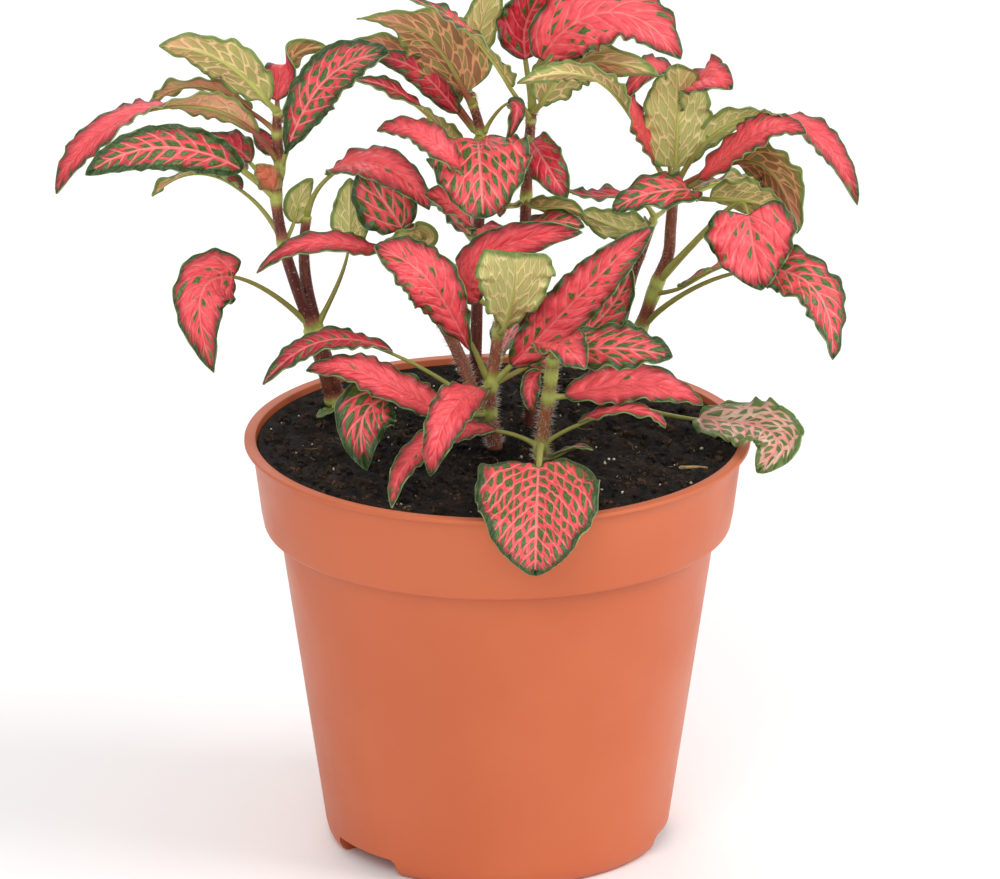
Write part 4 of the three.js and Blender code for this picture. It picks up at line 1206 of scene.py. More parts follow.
@dataclass
class Blade:
    """One waved leaf blade. Lengths that end in _share are shares of the blade's width.

    Attributes:
        leaf: the leaf's plan.
        order: its place in the shoot.
        rng: where random numbers come from.
        thickness: the blade's thickness.
        least_foot: the least half width at the foot.
        least_tip: the least half width at the tip.
        crowding: how much the grid's rows crowd towards the foot.
        scallops: the pitch and depth of each run of scallops, with the depth as a share of the half width.
        wave_share: the height of the margin's long waves.
        wave_count: how many of them a blade has.
        ripple_share: the height of the margin's short ripples.
        ripple_pitch: their pitch.
        wave_phases: how far the waves shift from one leaf to the next, and from one side to the other.
        uneven: how strongly the ripples' pitch varies, and over what length.
        wave_room: the half width at which waves are full, on a blade of width one.
        ripple_room: the same for ripples.
        flat_middle: the share of the half width within which the margin's scallops don't reach.
        cup: how much the blade rises for each step aside.
        pucker_share: the height of the puckers between the side veins.
        pucker_start: how far from the midrib they are full, as a share of the half width.
        pucker_fade: how much lower they are at the margin.
        groove_share: the depth of the groove along the midrib.
        groove_width: its half width.
        vein_spacing: the space between side veins on a blade of middling width.
        spacing_gain: the share of it on the narrowest blade, and the share gained for each mm of width.
        broad_spacing: how much less of it a broad blade has.
        cell_length: the length of the net's cells along the side veins.
        broad_cell: how much shorter they are on a broad blade.
        sweeps: how far the side veins run forward for each step aside, how much less on a blade with
            steep side veins, and how much more at the tip.
        crimp_loss: how much of its crimp a broad blade loses.
        tip_rim: how near the tip's margin is, as a share of the length that is left.
        broad_widths: from the widest blade that waves in full to the narrowest that lies flat.
        steep_widths: the same for side veins that run less far forward.
    """

    leaf: Leaf
    order: int
    rng: np.random.Generator
    thickness: float = 0.34
    least_foot: float = 0.55
    least_tip: float = 0.15
    crowding: float = 1.25
    scallops: tuple[Span, Span] = ((6.5, 0.038), (3.6, 0.02))
    wave_share: float = 0.05
    wave_count: float = 2.6
    ripple_share: float = 0.046
    ripple_pitch: float = 5.2
    wave_phases: Span = (2.4, 1.9)
    uneven: Span = (1.3, 3)
    wave_room: float = 0.3
    ripple_room: float = 0.25
    flat_middle: float = 0.2
    cup: float = 0.12
    pucker_share: float = 0.022
    pucker_start: float = 0.25
    pucker_fade: float = 0.6
    groove_share: float = 0.02
    groove_width: float = 0.9
    vein_spacing: float = 5.2
    spacing_gain: Span = (0.62, 0.012)
    broad_spacing: float = 0.3
    cell_length: float = 3.9
    broad_cell: float = 0.7
    sweeps: tuple[float, float, float] = (1.25, 0.2, 0.7)
    crimp_loss: float = 0.7
    tip_rim: float = 0.6
    broad_widths: Span = (24, 30)
    steep_widths: Span = (18, 28)

    def breadth(self, widths: Span) -> float:
        """Find how broad the blade is, from 0 at the first width to 1 at the second."""
        return float(smoothstep(*widths, np.array(self.leaf.width)))

    def half_width(self, share: np.ndarray) -> np.ndarray:
        """Half the blade's width at shares of its length, for a blade one unit wide."""
        fullness, foot, tip, _ = self.leaf.outline.value
        return 0.5 * fullness * share**foot * (1 - share) ** tip

    def sweep(self, share: np.ndarray) -> np.ndarray:
        """How far the side veins run forward for each step aside, less on a broad blade's foot."""
        foot, loss, gain = self.sweeps
        return (foot - loss * self.breadth(self.steep_widths)) + gain * share

    def build(self, pattern: Piece, name: str) -> Piece:
        """Shape a copy of the flat blade.

        Args:
            pattern: the flat blade.
            name: the new piece's name.

        Returns:
            The blade, with the values that its materials read.
        """
        leaf = self.leaf
        midrib = Midrib(leaf)
        piece = copy_of(pattern, name)
        grid = self.grid(points_of(piece), midrib.length() * (1 - leaf.stalk))
        along = leaf.stalk + (1 - leaf.stalk) * grid.share
        tangent, normal = midrib.tangent(along), midrib.normal(along)
        side = np.cross(tangent, normal)
        lobe = leaf.outline.value[3] * leaf.width
        back = lobe * grid.over**2 * (1 - grid.share) ** 3 * grid.fullness(self.wave_room * leaf.width)
        net = self.net(grid)
        lift = self.lift(grid, net[:, 0])
        points = midrib.point(along) + side * (grid.over * grid.reach)[:, None] + normal * lift[:, None]
        points -= tangent * back[:, None]
        set_points(piece, points)
        self.store(piece, grid, net)
        apply_modifier(piece, "SOLIDIFY", thickness=self.thickness, offset=0, material_offset=1)
        return piece

    def grid(self, flat: np.ndarray, length: float) -> BladeGrid:
        """Measure the points of a flat blade, and give it a scalloped margin.

        Args:
            flat: the flat blade's points.
            length: the real blade's length.

        Returns:
            What is known of each point.
        """
        over = flat[:, 0]
        share = np.clip(flat[:, 1], 0, 1) ** self.crowding
        forward = share * length
        sign = np.where(over > 0, 1.0, -1.0)
        turns = self.rng.uniform(0, math.tau, 8)
        flank = np.where(over > 0, turns[0], turns[1])
        crimp = self.crimp()
        (long_pitch, long_depth), (short_pitch, short_depth) = self.scallops
        scallop = 1 + long_depth * crimp * np.sin(math.tau * forward / long_pitch + flank)
        scallop += short_depth * crimp * np.sin(math.tau * forward / short_pitch + turns[2] * sign)
        outer = smoothstep(self.flat_middle, 1, np.abs(over))
        reach = self.half_width(share) * self.leaf.width * (1 + (scallop - 1) * outer)
        reach = np.maximum(reach, self.least_foot * (1 - share) + self.least_tip * share)
        return BladeGrid(over, share, forward, sign, turns, reach, np.abs(over) * reach)

    def crimp(self) -> float:
        """Find how much the margin is crimped, which is less on a broad blade."""
        return 1 - self.crimp_loss * self.breadth(self.broad_widths)

    def net(self, grid: BladeGrid) -> np.ndarray:
        """Find each point's place across and along the side veins, in cells of the net."""
        broad = self.breadth(self.broad_widths)
        least, gain = self.spacing_gain
        spacing = self.vein_spacing * (least + gain * self.leaf.width) * (1 - self.broad_spacing * broad)
        sweep = self.sweep(grid.share)
        across = (grid.forward - grid.aside * sweep) / spacing
        along = grid.sign * grid.aside * np.sqrt(1 + sweep**2) / (self.cell_length - self.broad_cell * broad)
        return np.stack([across, along], axis=1)

    def lift(self, grid: BladeGrid, veins: np.ndarray) -> np.ndarray:
        """Find how far each point lies above the flat blade: its waves, ripples, puckers and groove.

        Args:
            grid: what is known of each point.
            veins: each point's count of side veins.

        Returns:
            The lifts.
        """
        width, outward = self.leaf.width, np.abs(grid.over)
        next_leaf, next_side = self.wave_phases
        phase = self.order * next_leaf + np.where(grid.over > 0, next_side, 0)
        wave = np.sin(grid.share * self.wave_count * math.tau + phase)
        wave = wave * self.wave_share * width * grid.over**2
        lift = self.cup * grid.aside + wave * grid.fullness(self.wave_room * width)
        strength, stretch = self.uneven
        uneven = strength * np.sin(grid.forward / stretch + grid.turns[4])
        ripple = np.sin(math.tau * grid.forward / self.ripple_pitch + grid.turns[3] * grid.sign + uneven)
        ripple = self.ripple_share * width * self.crimp() * ripple * outward**3
        lift += ripple * grid.fullness(self.ripple_room * width)
        ridge = 0.5 + 0.5 * np.cos(math.tau * veins)
        pucker = (1 - ridge) * smoothstep(0, self.pucker_start, outward) * (1 - self.pucker_fade * outward)
        groove = np.exp(-((grid.aside / self.groove_width) ** 2))
        return lift + (self.pucker_share * width * pucker - self.groove_share * width * groove)

    def store(self, piece: Piece, grid: BladeGrid, net: np.ndarray) -> None:
        """Store what the leaf's materials read.

        Args:
            piece: the blade.
            grid: what is known of each point.
            net: each point's place in the net.
        """
        count = len(grid.share)
        shift = self.rng.integers(5, 90, 3)
        keep_values(piece, "net", np.column_stack([net + shift[:2], np.full(count, shift[2])]))
        keep_values(piece, "aside", grid.aside)
        tip_distance = (1 - grid.share) * (grid.forward.max() + 1) * self.tip_rim
        keep_values(piece, "rim", np.minimum(grid.reach - grid.aside, tip_distance))
        keep_values(piece, "look", np.tile(self.leaf.top.value, (count, 1)))
        keep_values(piece, "under", np.column_stack([np.tile(self.leaf.under.value, (count, 1)), grid.share]))


@dataclass
class LeafyShoot:
    """One shoot: leaves, and the stems and hairs that carry them.

    Attributes:
        plan: the shoot's plan.
        blade_pattern: the flat blade.
        stem_pattern: the straight tube for stems.
        stalk_pattern: the straight tube for stalks.
        rng: where random numbers come from.
        stem_skin: the material of stems and stalks.
        hair_skin: the material of hairs.
        stem_depth: how deep the first stem stands in the soil.
        node_swell: how much thicker a stem is at a node.
        node_reach: how far along the stem a node swells, and how far it is green.
        node_snap: how close a leaf's foot has to lie to a stem to make a node on it.
        node_fresh: how green a node is.
        tip_taper: how much a stem narrows at its very end, and where that begins.
        stalk_reach: how far a stalk runs on under the blade, as a share of the blade.
        stalk_radius: a stalk's least radius, and how much it gains for each mm of the leaf's width.
        stalk_taper: how much thinner a stalk is at its end.
        stalk_swell: how much thicker a stalk is at its foot, and how far up that reaches.
        stalk_drop: how far a stalk lies under its blade: shares of its radius and of the leaf's width,
            and a length.
        pale_tones: how fresh the stalks of pale and olive leaves are, as shares.
        dark_tone: how fresh the other stalks are.
        foot_tone: how fresh a stalk is at its foot, and over what length that fades.
        blade_tone: how much fresher it is under the blade, and over what share that comes.
        stem_tone: how much fresher a stem is at its top.
        grain_scale: how fine the skin's streaks are round a stem and for each mm along it.
        hair_radius: the radius of a hair at its root.
        hair_lengths: the shares of the usual length that hairs have.
        hair_leans: how far hairs lean along the stem.
        hair_root: how far from the stem's middle a hair begins, as a share of its radius.
    """

    plan: Shoot
    blade_pattern: Piece
    stem_pattern: Piece
    stalk_pattern: Piece
    rng: np.random.Generator
    stem_skin: Finish
    hair_skin: Finish
    stem_depth: float = 14.0
    node_swell: float = 0.2
    node_reach: Span = (1.5, 1.7)
    node_snap: float = 3.5
    node_fresh: float = 0.86
    tip_taper: Span = (0.35, 0.985)
    stalk_reach: float = 0.93
    stalk_radius: Span = (0.45, 0.025)
    stalk_taper: float = 0.86
    stalk_swell: Span = (0.35, 0.05)
    stalk_drop: tuple[float, float, float] = (0.95, 0.02, 0.15)
    pale_tones: Span = (0.6, 0.85)
    dark_tone: float = 0.36
    foot_tone: Span = (0.9, 2.0)
    blade_tone: Span = (0.3, 0.2)
    stem_tone: float = 0.14
    grain_scale: Span = (2.2, 0.35)
    hair_radius: float = 0.042
    hair_lengths: Span = (0.45, 1.2)
    hair_leans: Span = (-0.25, 0.55)
    hair_root: float = 0.92

    def build(self) -> None:
        """Build the shoot's leaves, stems and hairs."""
        name = self.plan.name
        blades = [
            Blade(leaf, order, self.rng).build(self.blade_pattern, f"{name}_blade")
            for order, leaf in enumerate(self.plan.leaves)
        ]
        leaves = join(blades, f"{name}_leaves")
        leaves.data.shade_smooth()
        hand_over(leaves, "leaf", name)
        routes = self.routes()
        feet = np.array([seen(leaf.places[0]) for leaf in self.plan.leaves])
        parts = [self.stem(stem, route, feet) for stem, route in zip(self.plan.stems, routes)]
        parts += [self.stalk(leaf) for leaf in self.plan.leaves]
        stems = join(parts, f"{name}_stems")
        dress(stems, self.stem_skin)
        stems.data.shade_smooth()
        hand_over(stems, "leaf", name)
        hairs = self.hairs(routes)
        dress(hairs, self.hair_skin)
        hand_over(hairs, "leaf")

    def routes(self) -> list[Route]:
        """Find the curve of each stem. The first one starts down in the soil."""
        routes = []
        for order, stem in enumerate(self.plan.stems):
            points = [seen(place) for place in stem.places]
            if order == 0:
                points.insert(0, points[0] - np.array([0, 0, self.stem_depth]))
            routes.append(Route(np.array(points)))
        return routes

    def tube(
        self,
        pattern: Piece,
        curve: Curve,
        reach: float,
        radius_of: Callable[[np.ndarray], np.ndarray],
        aside_of: Callable[[np.ndarray], np.ndarray] | None = None,
    ) -> tuple[Piece, np.ndarray]:
        """Bend a copy of a straight tube along a curve.

        Args:
            pattern: the straight tube.
            curve: the curve.
            reach: the share of the curve that the tube covers.
            radius_of: gives the radius at shares of the curve.
            aside_of: gives how far the tube lies beside the curve there, if it does.

        Returns:
            The bent tube, and each point's share of the curve.
        """
        piece = copy_of(pattern, "tube")
        flat = points_of(piece)
        along = np.clip(flat[:, 2], 0, 1) * reach
        across, other = cross_section(curve.tangent(along))
        radius = radius_of(along)
        centre = curve.point(along)
        if aside_of is not None:
            centre = centre + aside_of(along)
        set_points(piece, centre + (across * flat[:, :1] + other * flat[:, 1:2]) * radius[:, None])
        turn = np.arctan2(flat[:, 1], flat[:, 0])
        around, lengthways = self.grain_scale
        grain = [np.cos(turn) * around, np.sin(turn) * around, along * curve.length() * lengthways]
        keep_values(piece, "grain", np.stack(grain, axis=1) + self.rng.uniform(0, 50))
        return piece, along

    def even_radius(self, stem: Stem, along: np.ndarray) -> np.ndarray:
        """Find a stem's radius away from its nodes."""
        return stem.foot_radius + (stem.top_radius - stem.foot_radius) * along

    def stem(self, stem: Stem, route: Route, feet: np.ndarray) -> Piece:
        """Build one stem, thicker and greener where leaves grow from it.

        Args:
            stem: the stem's plan.
            route: its curve.
            feet: the feet of the shoot's leaves.

        Returns:
            The stem.
        """
        samples = np.linspace(0, 1, 240)
        length = route.length()
        spread = np.linalg.norm(route.point(samples)[:, None] - feet[None], axis=2)
        nodes = samples[np.argmin(spread, axis=0)][np.min(spread, axis=0) < self.node_snap]
        swell_reach, fresh_reach = self.node_reach

        def closeness(along: np.ndarray, reach: float) -> np.ndarray:
            """How close points are to a node, from 0 to 1."""
            if not len(nodes):
                return np.zeros_like(along)
            apart = np.min(np.abs(along[:, None] - nodes[None]), axis=1) * length
            return np.exp(-((apart / reach) ** 2))

        def radius(along: np.ndarray) -> np.ndarray:
            """The stem's radius."""
            taper, start = self.tip_taper
            swollen = self.even_radius(stem, along) * (1 + self.node_swell * closeness(along, swell_reach))
            return swollen * (1 - taper * smoothstep(start, 1, along))

        piece, along = self.tube(self.stem_pattern, route, 1, radius)
        fresh = self.plan.fresh
        fresh = fresh + (self.node_fresh - fresh) * closeness(along, fresh_reach) + self.stem_tone * along
        keep_values(piece, "fresh", fresh)
        return piece

    def stalk(self, leaf: Leaf) -> Piece:
        """Build one leaf's stalk, which runs on under the blade as the raised midrib."""
        midrib = Midrib(leaf)
        reach = leaf.stalk + (1 - leaf.stalk) * self.stalk_reach
        least, gain = self.stalk_radius
        thick = least + leaf.width * gain

        def radius(along: np.ndarray) -> np.ndarray:
            """The stalk's radius, which is greatest at its foot."""
            slim = 1 - self.stalk_taper * smoothstep(-0.25, 1, along / reach)
            swell, swell_reach = self.stalk_swell
            return thick * slim * (1 + swell * np.exp(-((along / swell_reach) ** 2)))

        def below(along: np.ndarray) -> np.ndarray:
            """How far the stalk lies under the blade's middle."""
            by_radius, by_width, more = self.stalk_drop
            depth = radius(along) * by_radius + by_width * leaf.width + more
            drop = np.minimum(1, along / leaf.stalk) * depth
            return midrib.normal(along) * -drop[:, None]

        piece, along = self.tube(self.stalk_pattern, midrib, reach, radius, below)
        is_pale = leaf.under in (Under.PALE, Under.OLIVE)
        tone = self.rng.uniform(*self.pale_tones) if is_pale else self.dark_tone
        foot, fade = self.foot_tone
        fresh = tone + (foot - tone) * np.exp(-((along * midrib.length() / fade) ** 2))
        gain, gain_reach = self.blade_tone
        fresh = fresh + gain * smoothstep(leaf.stalk, leaf.stalk + gain_reach, along)
        keep_values(piece, "fresh", fresh)
        return piece

    def hairs(self, routes: list[Route]) -> Piece:
        """Scatter fine hairs over the stems, each one a copy of one thin cone."""
        bpy.ops.mesh.primitive_cone_add(vertices=3, radius1=1, radius2=0, depth=1, location=(0, 0, 0.5))
        bpy.ops.object.transform_apply(location=True)
        shape, faces = taken_shape(bpy.context.active_object)
        per_mm, hair_length = self.plan.hairs
        hairs = []
        for order, (stem, route) in enumerate(zip(self.plan.stems, routes)):
            buried = self.stem_depth / route.length() if order == 0 else 0.0
            count = int(route.length() * per_mm)
            along = self.rng.uniform(buried, 1, count)
            tangent = route.tangent(along)
            across, other = cross_section(tangent)
            turn = self.rng.uniform(0, math.tau, count)[:, None]
            out = across * np.cos(turn) + other * np.sin(turn)
            root = route.point(along) + out * (self.even_radius(stem, along) * self.hair_root)[:, None]
            lean = unit(out + tangent * self.rng.uniform(*self.hair_leans, (count, 1)))
            length = hair_length * self.rng.uniform(*self.hair_lengths, count)[:, None]
            one = unit(np.cross(lean, tangent)) * self.hair_radius
            two = np.cross(lean, one)
            for hair in range(count):
                foot = root[hair] + shape[:, :1] * one[hair] + shape[:, 1:2] * two[hair]
                hairs.append(foot + shape[:, 2:] * lean[hair] * length[hair])
        return many_of(f"{self.plan.name}_hairs", hairs, faces)


# ---------------------------------------------------------------- pot and soil


def spin(profile: list[Span], steps: int, name: str) -> Piece:
    """Spin a closed profile round the pot's axis.

    Args:
        profile: pairs of radius and height. The first and last are on the axis.
        steps: how many steps make the full turn.
        name: the new piece's name.

    Returns:
        The spun piece, in millimetres.
    """
    edges = [(place, place + 1) for place in range(len(profile) - 1)]
    piece = new_piece(name, [(radius, 0, height) for radius, height in profile], edges, [])
    select_only(piece)
    bpy.ops.object.mode_set(mode="EDIT")
    bpy.ops.mesh.select_all(action="SELECT")
    bpy.ops.mesh.spin(steps=steps, angle=math.tau, center=(0, 0, 0), axis=(0, 0, 1))
    bpy.ops.mesh.select_all(action="SELECT")
    bpy.ops.mesh.remove_doubles(threshold=0.001)
    bpy.ops.mesh.normals_make_consistent(inside=False)
    bpy.ops.object.mode_set(mode="OBJECT")
    return piece


@dataclass
class Pot:
    """The nursery pot: a tapered body, a collar with a flat lip, and a notched foot with drain holes."""

    rim: float = 60.0
    lip_thickness: float = 1.1
    lip_overhang: float = 1.7
    wall: float = 1.0
    collar_foot: float = 55.5
    collar_height: float = 78.0
    collar_fillet: float = 1.4
    body_top: float = 51.8
    body_foot: float = 41.1
    body_foot_height: float = 5.2
    foot: float = 38.0
    foot_ring: float = 2.2
    foot_height: float = 4.8
    floor: float = 1.2
    pad: float = 14.0
    notch_bearings: tuple[float, ...] = (-52, 82, 195)
    notch_width: float = 21.6
    notch_depth: float = 16.0
    notch_tall: float = 12.0
    notch_circle: float = 36.0
    notch_corner: float = 1.6
    drain_count: int = 6
    drain_radius: float = 4.0
    drain_circle: float = 25.0
    steps: int = 160
    levels: int = 14
    sharp_angle: float = math.radians(32)

    def collar(self, height: float) -> float:
        """The collar's outer radius at a height."""
        share = (height - self.collar_height) / (RIM_HEIGHT - self.collar_height)
        return self.collar_foot + (self.rim - self.lip_overhang - self.collar_foot) * share

    def body(self, height: float) -> float:
        """The body's outer radius at a height."""
        share = (height - self.body_foot_height) / (self.collar_height - self.body_foot_height)
        return self.body_foot + (self.body_top - self.body_foot) * share

    def profile(self) -> list[Span]:
        """Draw the pot's section, outside and then inside."""
        lip = RIM_HEIGHT - self.lip_thickness
        shelf = self.collar_height + self.wall
        floor = self.foot_height + self.floor
        outside = [
            (0, 0), (self.pad - 0.4, 0), (self.pad, 0.4), (self.pad + 1, self.foot_height - 0.4),
            (self.pad + 1.4, self.foot_height), (self.foot - self.foot_ring - 0.8, self.foot_height),
            (self.foot - self.foot_ring - 0.3, self.foot_height - 0.5), (self.foot - self.foot_ring, 0.3),
            (self.foot - self.foot_ring + 0.3, 0), (self.foot, 0), (self.foot + 0.9, 0.35),
            (self.foot + 1.8, 1.1), (self.foot + 2.5, 2.4),
            (self.body_foot - 0.1, self.body_foot_height - 0.8),
        ]
        body_height = self.collar_height - 0.6 - self.body_foot_height
        for level in range(self.levels + 1):
            height = self.body_foot_height + body_height * level / self.levels
            outside.append((self.body(height), height))
        corner = self.collar_foot - self.collar_fillet
        outside.append((self.body_top + 0.15, self.collar_height - 0.1))
        outside.append((self.body_top + 0.6, self.collar_height))
        for part in range(6):
            angle = math.radians(-90 + 18 * part)
            radius = corner + self.collar_fillet * math.cos(angle)
            outside.append((radius, self.collar_height + self.collar_fillet * (1 + math.sin(angle))))
        for height in (82, 86, 90, 94, lip - 0.5):
            outside.append((self.collar(height), height))
        outside += [
            (self.collar(lip) + 0.15, lip - 0.1), (self.collar(lip) + 0.5, lip), (self.rim - 0.25, lip),
            (self.rim, lip + 0.25), (self.rim, RIM_HEIGHT - 0.35), (self.rim - 0.12, RIM_HEIGHT - 0.12),
            (self.rim - 0.4, RIM_HEIGHT),
        ]
        mouth = self.collar(RIM_HEIGHT) - self.wall
        inside = [
            (mouth + 0.3, RIM_HEIGHT), (mouth + 0.05, RIM_HEIGHT - 0.1), (mouth - 0.1, RIM_HEIGHT - 0.5),
            (self.collar(90) - self.wall, 90), (self.collar(shelf + 0.5) - self.wall, shelf + 0.5),
            (self.collar(shelf) - self.wall - 0.5, shelf), (self.body(shelf) - self.wall, shelf),
            (self.body(floor) - self.wall, floor + 0.8), (self.body(floor) - self.wall - 0.8, floor),
            (self.pad - 0.1, floor), (self.pad - 1.1, self.floor), (0, self.floor),
        ]
        return outside + inside

    def build(self, finish: Finish) -> None:
        """Spin the pot, cut its notches and drain holes, and dress it."""
        pot = spin(self.profile(), self.steps, "nursery_pot")
        cutters = [self.notch(bearing) for bearing in self.notch_bearings]
        cutters += [self.drill(order) for order in range(self.drain_count)]
        cutter = join(cutters, "cutter")
        apply_modifier(pot, "BOOLEAN", object=cutter, operation="DIFFERENCE", solver="EXACT")
        bpy.data.objects.remove(cutter)
        dress(pot, finish)
        select_only(pot)
        bpy.ops.object.shade_smooth_by_angle(angle=self.sharp_angle)
        hand_over(pot, "pot", "pot")

    def notch(self, bearing: float) -> Piece:
        """Make the block that cuts one notch through the foot ring, with round upper corners."""
        bpy.ops.mesh.primitive_cube_add(size=1)
        block = bpy.context.active_object
        top = self.foot_height - 0.4
        size = [self.notch_width, self.notch_depth, self.notch_tall]
        set_points(block, points_of(block) * size + [0, -self.notch_circle, top - self.notch_tall / 2])
        upper = top - self.notch_tall / 2
        edit_edges(block, lambda one, other: one.z > upper and other.z > upper and one.x == other.x)
        bpy.ops.mesh.bevel(offset=self.notch_corner, segments=5)
        bpy.ops.object.mode_set(mode="OBJECT")
        set_points(block, points_of(block) @ turning(math.radians(bearing)))
        return block

    def drill(self, order: int) -> Piece:
        """Make the cylinder that cuts one drain hole."""
        angle = (order + 0.5) / self.drain_count * math.tau
        centre = (math.cos(angle) * self.drain_circle, math.sin(angle) * self.drain_circle, self.foot_height)
        bpy.ops.mesh.primitive_cylinder_add(vertices=32, radius=self.drain_radius, depth=6, location=centre)
        bpy.ops.object.transform_apply(location=True)
        return bpy.context.active_object


@dataclass
class Soil:
    """The soil: a lumpy crumbly surface with loose crumbs, pale grains, fibres and a dry twig.

    Attributes:
        pot: the pot that holds it.
        rng: where random numbers come from.
        gap: the gap between the soil and the pot.
        edge_height: the height of the surface at the wall.
        middle_height: the height of the surface at the axis.
        swell: the height of its broad swells.
        lumps: the size and height of its lumps, from the broadest to the finest.
        waves: how many waves make up each size of lump.
        roughness: how uneven its points are, one by one.
        edge_fade: how far from the wall its lumps begin.
        tallest: the greatest height of a lump.
        lump_sizes: how much smaller than its usual size a loose lump is, as shares.
        knobbles: how far its corners stand out, as shares of its radius.
        presses: how far it is pressed in each direction, as shares.
        bend: how sharply fibres bend, and how many steps they have.
        fibre_steps: the length of a step.
        stick_lifts: how high sticks lie over the soil.
        stick_taper: how much thinner a stick is at its end.
    """

    pot: Pot
    rng: np.random.Generator
    gap: float = 0.35
    edge_height: float = 98.2
    middle_height: float = 95.8
    swell: float = 0.42
    roughness: float = 0.26
    edge_fade: float = 2.5
    steps: int = 220
    rings: int = 70
    lumps: tuple[Span, ...] = ((5.5, 0.9), (2.2, 0.7), (1.1, 0.45))
    waves: int = 6
    tallest: float = 99.2
    crumbs: int = 2200
    crumb_sizes: Span = (0.25, 1.15)
    crumb_sink: float = 0.35
    grains: int = 110
    grain_sizes: Span = (0.16, 0.5)
    grain_sink: float = 0.2
    scatter_reach: float = 55.5
    twig: tuple[Span, ...] = ((43, -19.2), (45, -19.6), (47, -19.3), (49.5, -20.2))
    twig_radius: float = 0.5
    fibres: int = 36
    fibre_reach: float = 51.0
    fibre_radii: Span = (0.05, 0.11)
    lump_sizes: Span = (0.6, 1)
    knobbles: Span = (0.72, 1.25)
    presses: Span = (0.55, 1.15)
    bend: tuple[float, int] = (0.5, 4)
    fibre_steps: Span = (0.7, 2.0)
    stick_lifts: Span = (0.4, 1.1)
    stick_taper: float = 0.5

    def surface(self, x: np.ndarray, y: np.ndarray) -> np.ndarray:
        """The height of the soil before its crumbs."""
        reach = np.hypot(x, y) / self.pot.rim
        bumps = np.sin(x * 0.31 + 1.2) * np.cos(y * 0.27) + 0.6 * np.sin(x * 0.13 - y * 0.36 + 0.5)
        return self.middle_height + (self.edge_height - self.middle_height) * reach**3 + self.swell * bumps

    def build(self, peat: Finish, crumb: Finish, grit: Finish, wood: Finish) -> None:
        """Build the body of soil and what lies on it."""
        self.body(peat)
        self.scatter("soil_crumbs", self.crumbs, self.crumb_sizes, crumb, self.crumb_sink)
        self.scatter("pale_grains", self.grains, self.grain_sizes, grit, self.grain_sink)
        self.sticks(wood)

    def body(self, finish: Finish) -> None:
        """Spin the body of soil and roughen its top."""
        pot, gap = self.pot, self.gap
        shelf = pot.collar_height + pot.wall + gap
        floor = pot.foot_height + pot.floor + gap
        edge = pot.collar(self.edge_height) - pot.wall - gap
        profile = [
            (0, pot.floor + gap), (pot.pad - 1.6, pot.floor + gap), (pot.pad - 0.6, floor),
            (pot.body(floor) - pot.wall - gap, floor), (pot.body(shelf) - pot.wall - gap, shelf),
            (pot.collar(shelf) - pot.wall - gap, shelf), (edge, self.edge_height),
        ]
        profile += [
            (edge * (1 - ring / self.rings), self.edge_height + 0.3) for ring in range(1, self.rings + 1)
        ]
        soil = spin(profile, self.steps, "potting_soil")
        points = points_of(soil)
        top = points[:, 2] > self.edge_height + 0.1
        x, y = points[top, 0], points[top, 1]
        height = self.surface(x, y)
        for size, depth in self.lumps:
            for _ in range(self.waves):
                turn, shift = self.rng.uniform(0, math.tau), self.rng.uniform(0, math.tau)
                wave = np.sin((x * math.cos(turn) + y * math.sin(turn)) * math.tau / size / 1.6 + shift)
                height += wave * depth / self.waves
        height += self.rng.normal(0, self.roughness, len(x))
        fade = smoothstep(edge, edge - self.edge_fade, np.hypot(x, y))
        points[top, 2] = np.minimum(height, self.tallest) * fade + (self.edge_height + 0.2) * (1 - fade)
        set_points(soil, points)
        dress(soil, finish)
        soil.data.shade_smooth()
        hand_over(soil, "soil", "soil")

    def scatter(self, name: str, count: int, sizes: Span, finish: Finish, sink: float) -> None:
        """Scatter small lumps over the soil, each a pressed and turned copy of one lump.

        Args:
            name: the new piece's name.
            count: how many lumps there are.
            sizes: the least and greatest radius.
            finish: their material.
            sink: the share of the radius that is sunk in the soil.
        """
        bpy.ops.mesh.primitive_ico_sphere_add(subdivisions=1, radius=1)
        shape, faces = taken_shape(bpy.context.active_object)
        lumps = []
        for _ in range(count):
            radius = self.rng.uniform(*sizes) * self.rng.uniform(*self.lump_sizes)
            x, y = self.spot(self.scatter_reach)
            z = float(self.surface(np.array([x]), np.array([y]))[0]) + radius * (1 - 2 * sink)
            knobbly = shape * self.rng.uniform(*self.knobbles, (len(shape), 1))
            pressed = knobbly * self.rng.uniform(*self.presses, 3)
            lumps.append(pressed @ turning(self.rng.uniform(0, math.tau)) * radius + [x, y, z])
        piece = many_of(name, lumps, faces)
        dress(piece, finish)
        hand_over(piece, "soil")

    def spot(self, reach: float) -> tuple[float, float]:
        """Pick a place on the soil at random, within a reach of the axis."""
        distance = reach * math.sqrt(self.rng.uniform(0, 1))
        bearing = self.rng.uniform(0, math.tau)
        return distance * math.cos(bearing), distance * math.sin(bearing)

    def sticks(self, finish: Finish) -> None:
        """Lay a dry twig and loose fibres on the soil."""
        parts = [self.stick(np.array(self.twig), self.twig_radius)]
        for _ in range(self.fibres):
            start = np.array(self.spot(self.fibre_reach))
            turns = self.rng.uniform(0, math.tau) + np.cumsum(self.rng.normal(0, *self.bend))
            steps = np.stack([np.cos(turns), np.sin(turns)], axis=1) * self.rng.uniform(*self.fibre_steps)
            parts.append(self.stick(start + np.cumsum(steps, axis=0), self.rng.uniform(*self.fibre_radii)))
        sticks = join(parts, "twig_and_fibres")
        dress(sticks, finish)
        sticks.data.shade_smooth()
        hand_over(sticks, "soil")

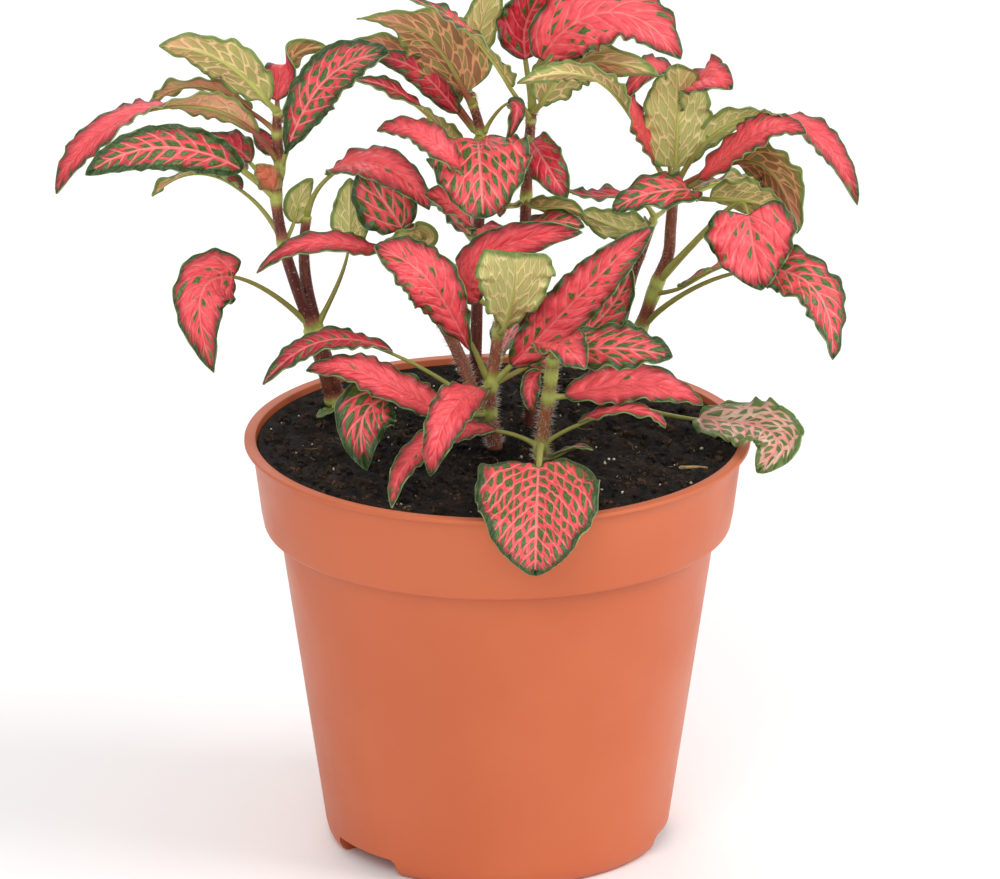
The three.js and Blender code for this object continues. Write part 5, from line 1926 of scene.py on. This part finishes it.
    def stick(self, path: np.ndarray, radius: float) -> Piece:
        """Build one stick that lies along a path over the soil."""
        height = self.surface(path[:, 0], path[:, 1]) + radius + self.rng.uniform(*self.stick_lifts)
        curve = Route(np.column_stack([path, height]))
        piece = upright_rod(6)
        apply_modifier(piece, "SUBSURF", subdivision_type="SIMPLE", levels=2, render_levels=2)
        flat = points_of(piece)
        along = np.clip(flat[:, 2], 0, 1)
        across, other = cross_section(curve.tangent(along), UPWARDS)
        thick = radius * (1 - self.stick_taper * along)[:, None]
        set_points(piece, curve.point(along) + (across * flat[:, :1] + other * flat[:, 1:2]) * thick)
        return piece


# ---------------------------------------------------------------- studio


@dataclass
class Studio:
    """A pale floor, soft light and a camera at the photograph's angle."""

    distance: float = 3.5
    lens: float = 532.0
    sensor_width: float = 36.0
    farthest: float = 30.0
    target: Place = (0.0006, 0.0, 0.0987)
    floor_size: float = 16.0
    floor_colour: Colour = (250, 250, 250)
    lit_place: Place = (0, 0, 0.12)
    sky: float = 0.62
    lights: tuple[tuple[str, Place, float, float], ...] = (
        ("key", (1.7, -0.5, 1.3), 1.2, 25),
        ("front", (-0.5, -1.9, 1.5), 1.4, 21),
        ("back", (-0.4, 1.5, 1.5), 1.4, 11),
    )

    def build(self) -> None:
        """Build the floor, the lights and the camera."""
        bpy.ops.mesh.primitive_plane_add(size=self.floor_size)
        floor = bpy.context.active_object
        floor.name = "studio_floor"
        g = Graph("studio_floor", roughness=0.9, specular=0.1)
        floor.data.materials.append(g.finish(linear(self.floor_colour)))
        world = bpy.data.worlds.new("studio")
        world.use_nodes = True
        background = world.node_tree.nodes["Background"]
        background.inputs["Color"].default_value = (1, 1, 1, 1)
        background.inputs["Strength"].default_value = self.sky
        bpy.context.scene.world = world
        for light in self.lights:
            self.light(*light)
        self.camera()
        bpy.context.scene.view_settings.view_transform = "Standard"

    def light(self, name: str, place: Place, size: float, power: float) -> None:
        """Place one soft light that shines at the plant."""
        bpy.ops.object.light_add(type="AREA", location=place)
        lamp = bpy.context.active_object
        lamp.name = name
        lamp.data.size = size
        lamp.data.energy = power
        self.aim(lamp, self.lit_place)

    def aim(self, thing: Piece, target: Place) -> None:
        """Turn a light or the camera towards a point."""
        away = thing.location - Vector(target)
        thing.rotation_euler = away.to_track_quat("Z", "Y").to_euler()

    def camera(self) -> None:
        """Place the camera."""
        x, y, z = self.target
        back = self.distance * math.cos(VIEW_ELEVATION)
        up = self.distance * math.sin(VIEW_ELEVATION)
        bpy.ops.object.camera_add(location=(x, y - back, z + up))
        camera = bpy.context.active_object
        camera.name = "photo_camera"
        camera.data.lens = self.lens
        camera.data.sensor_width = self.sensor_width
        camera.data.clip_end = self.farthest
        self.aim(camera, self.target)
        bpy.context.scene.camera = camera


# ---------------------------------------------------------------- main


def main() -> None:
    """Build the whole plant and its studio."""
    logging.basicConfig(level=logging.INFO, format="%(name)s %(message)s")
    bpy.ops.object.select_all(action="DESELECT")
    Studio().build()
    pot = Pot()
    pot.build(PotPlastic().build())
    soil = Soil(pot, np.random.default_rng(SOIL_SEED))
    soil.build(
        Earth().build(),
        Earth("crumbs", dark=(18, 12, 9), brown=(112, 82, 56)).build(),
        PaleGrit("perlite", light=(226, 220, 206), stain=(176, 160, 138)).build(),
        PaleGrit("dry_fibre", light=(176, 146, 100), stain=(92, 66, 44)).build(),
    )
    patterns = Patterns()
    blade_pattern = patterns.blade(LeafTop().build(), LeafUnderside().build())
    stem_pattern = patterns.tube(STEM_RINGS)
    stalk_pattern = patterns.tube(STALK_RINGS)
    skin = StemSkin().build()
    hair = PaleGrit("hair", light=(232, 226, 214), stain=(206, 190, 176), rough=0.5).build()
    for order, plan in enumerate(SHOOTS):
        rng = np.random.default_rng(FIRST_SHOOT_SEED + order)
        LeafyShoot(plan, blade_pattern, stem_pattern, stalk_pattern, rng, skin, hair).build()
    for pattern in (blade_pattern, stem_pattern, stalk_pattern):
        bpy.data.objects.remove(pattern)


if __name__ == "__main__":
    main()
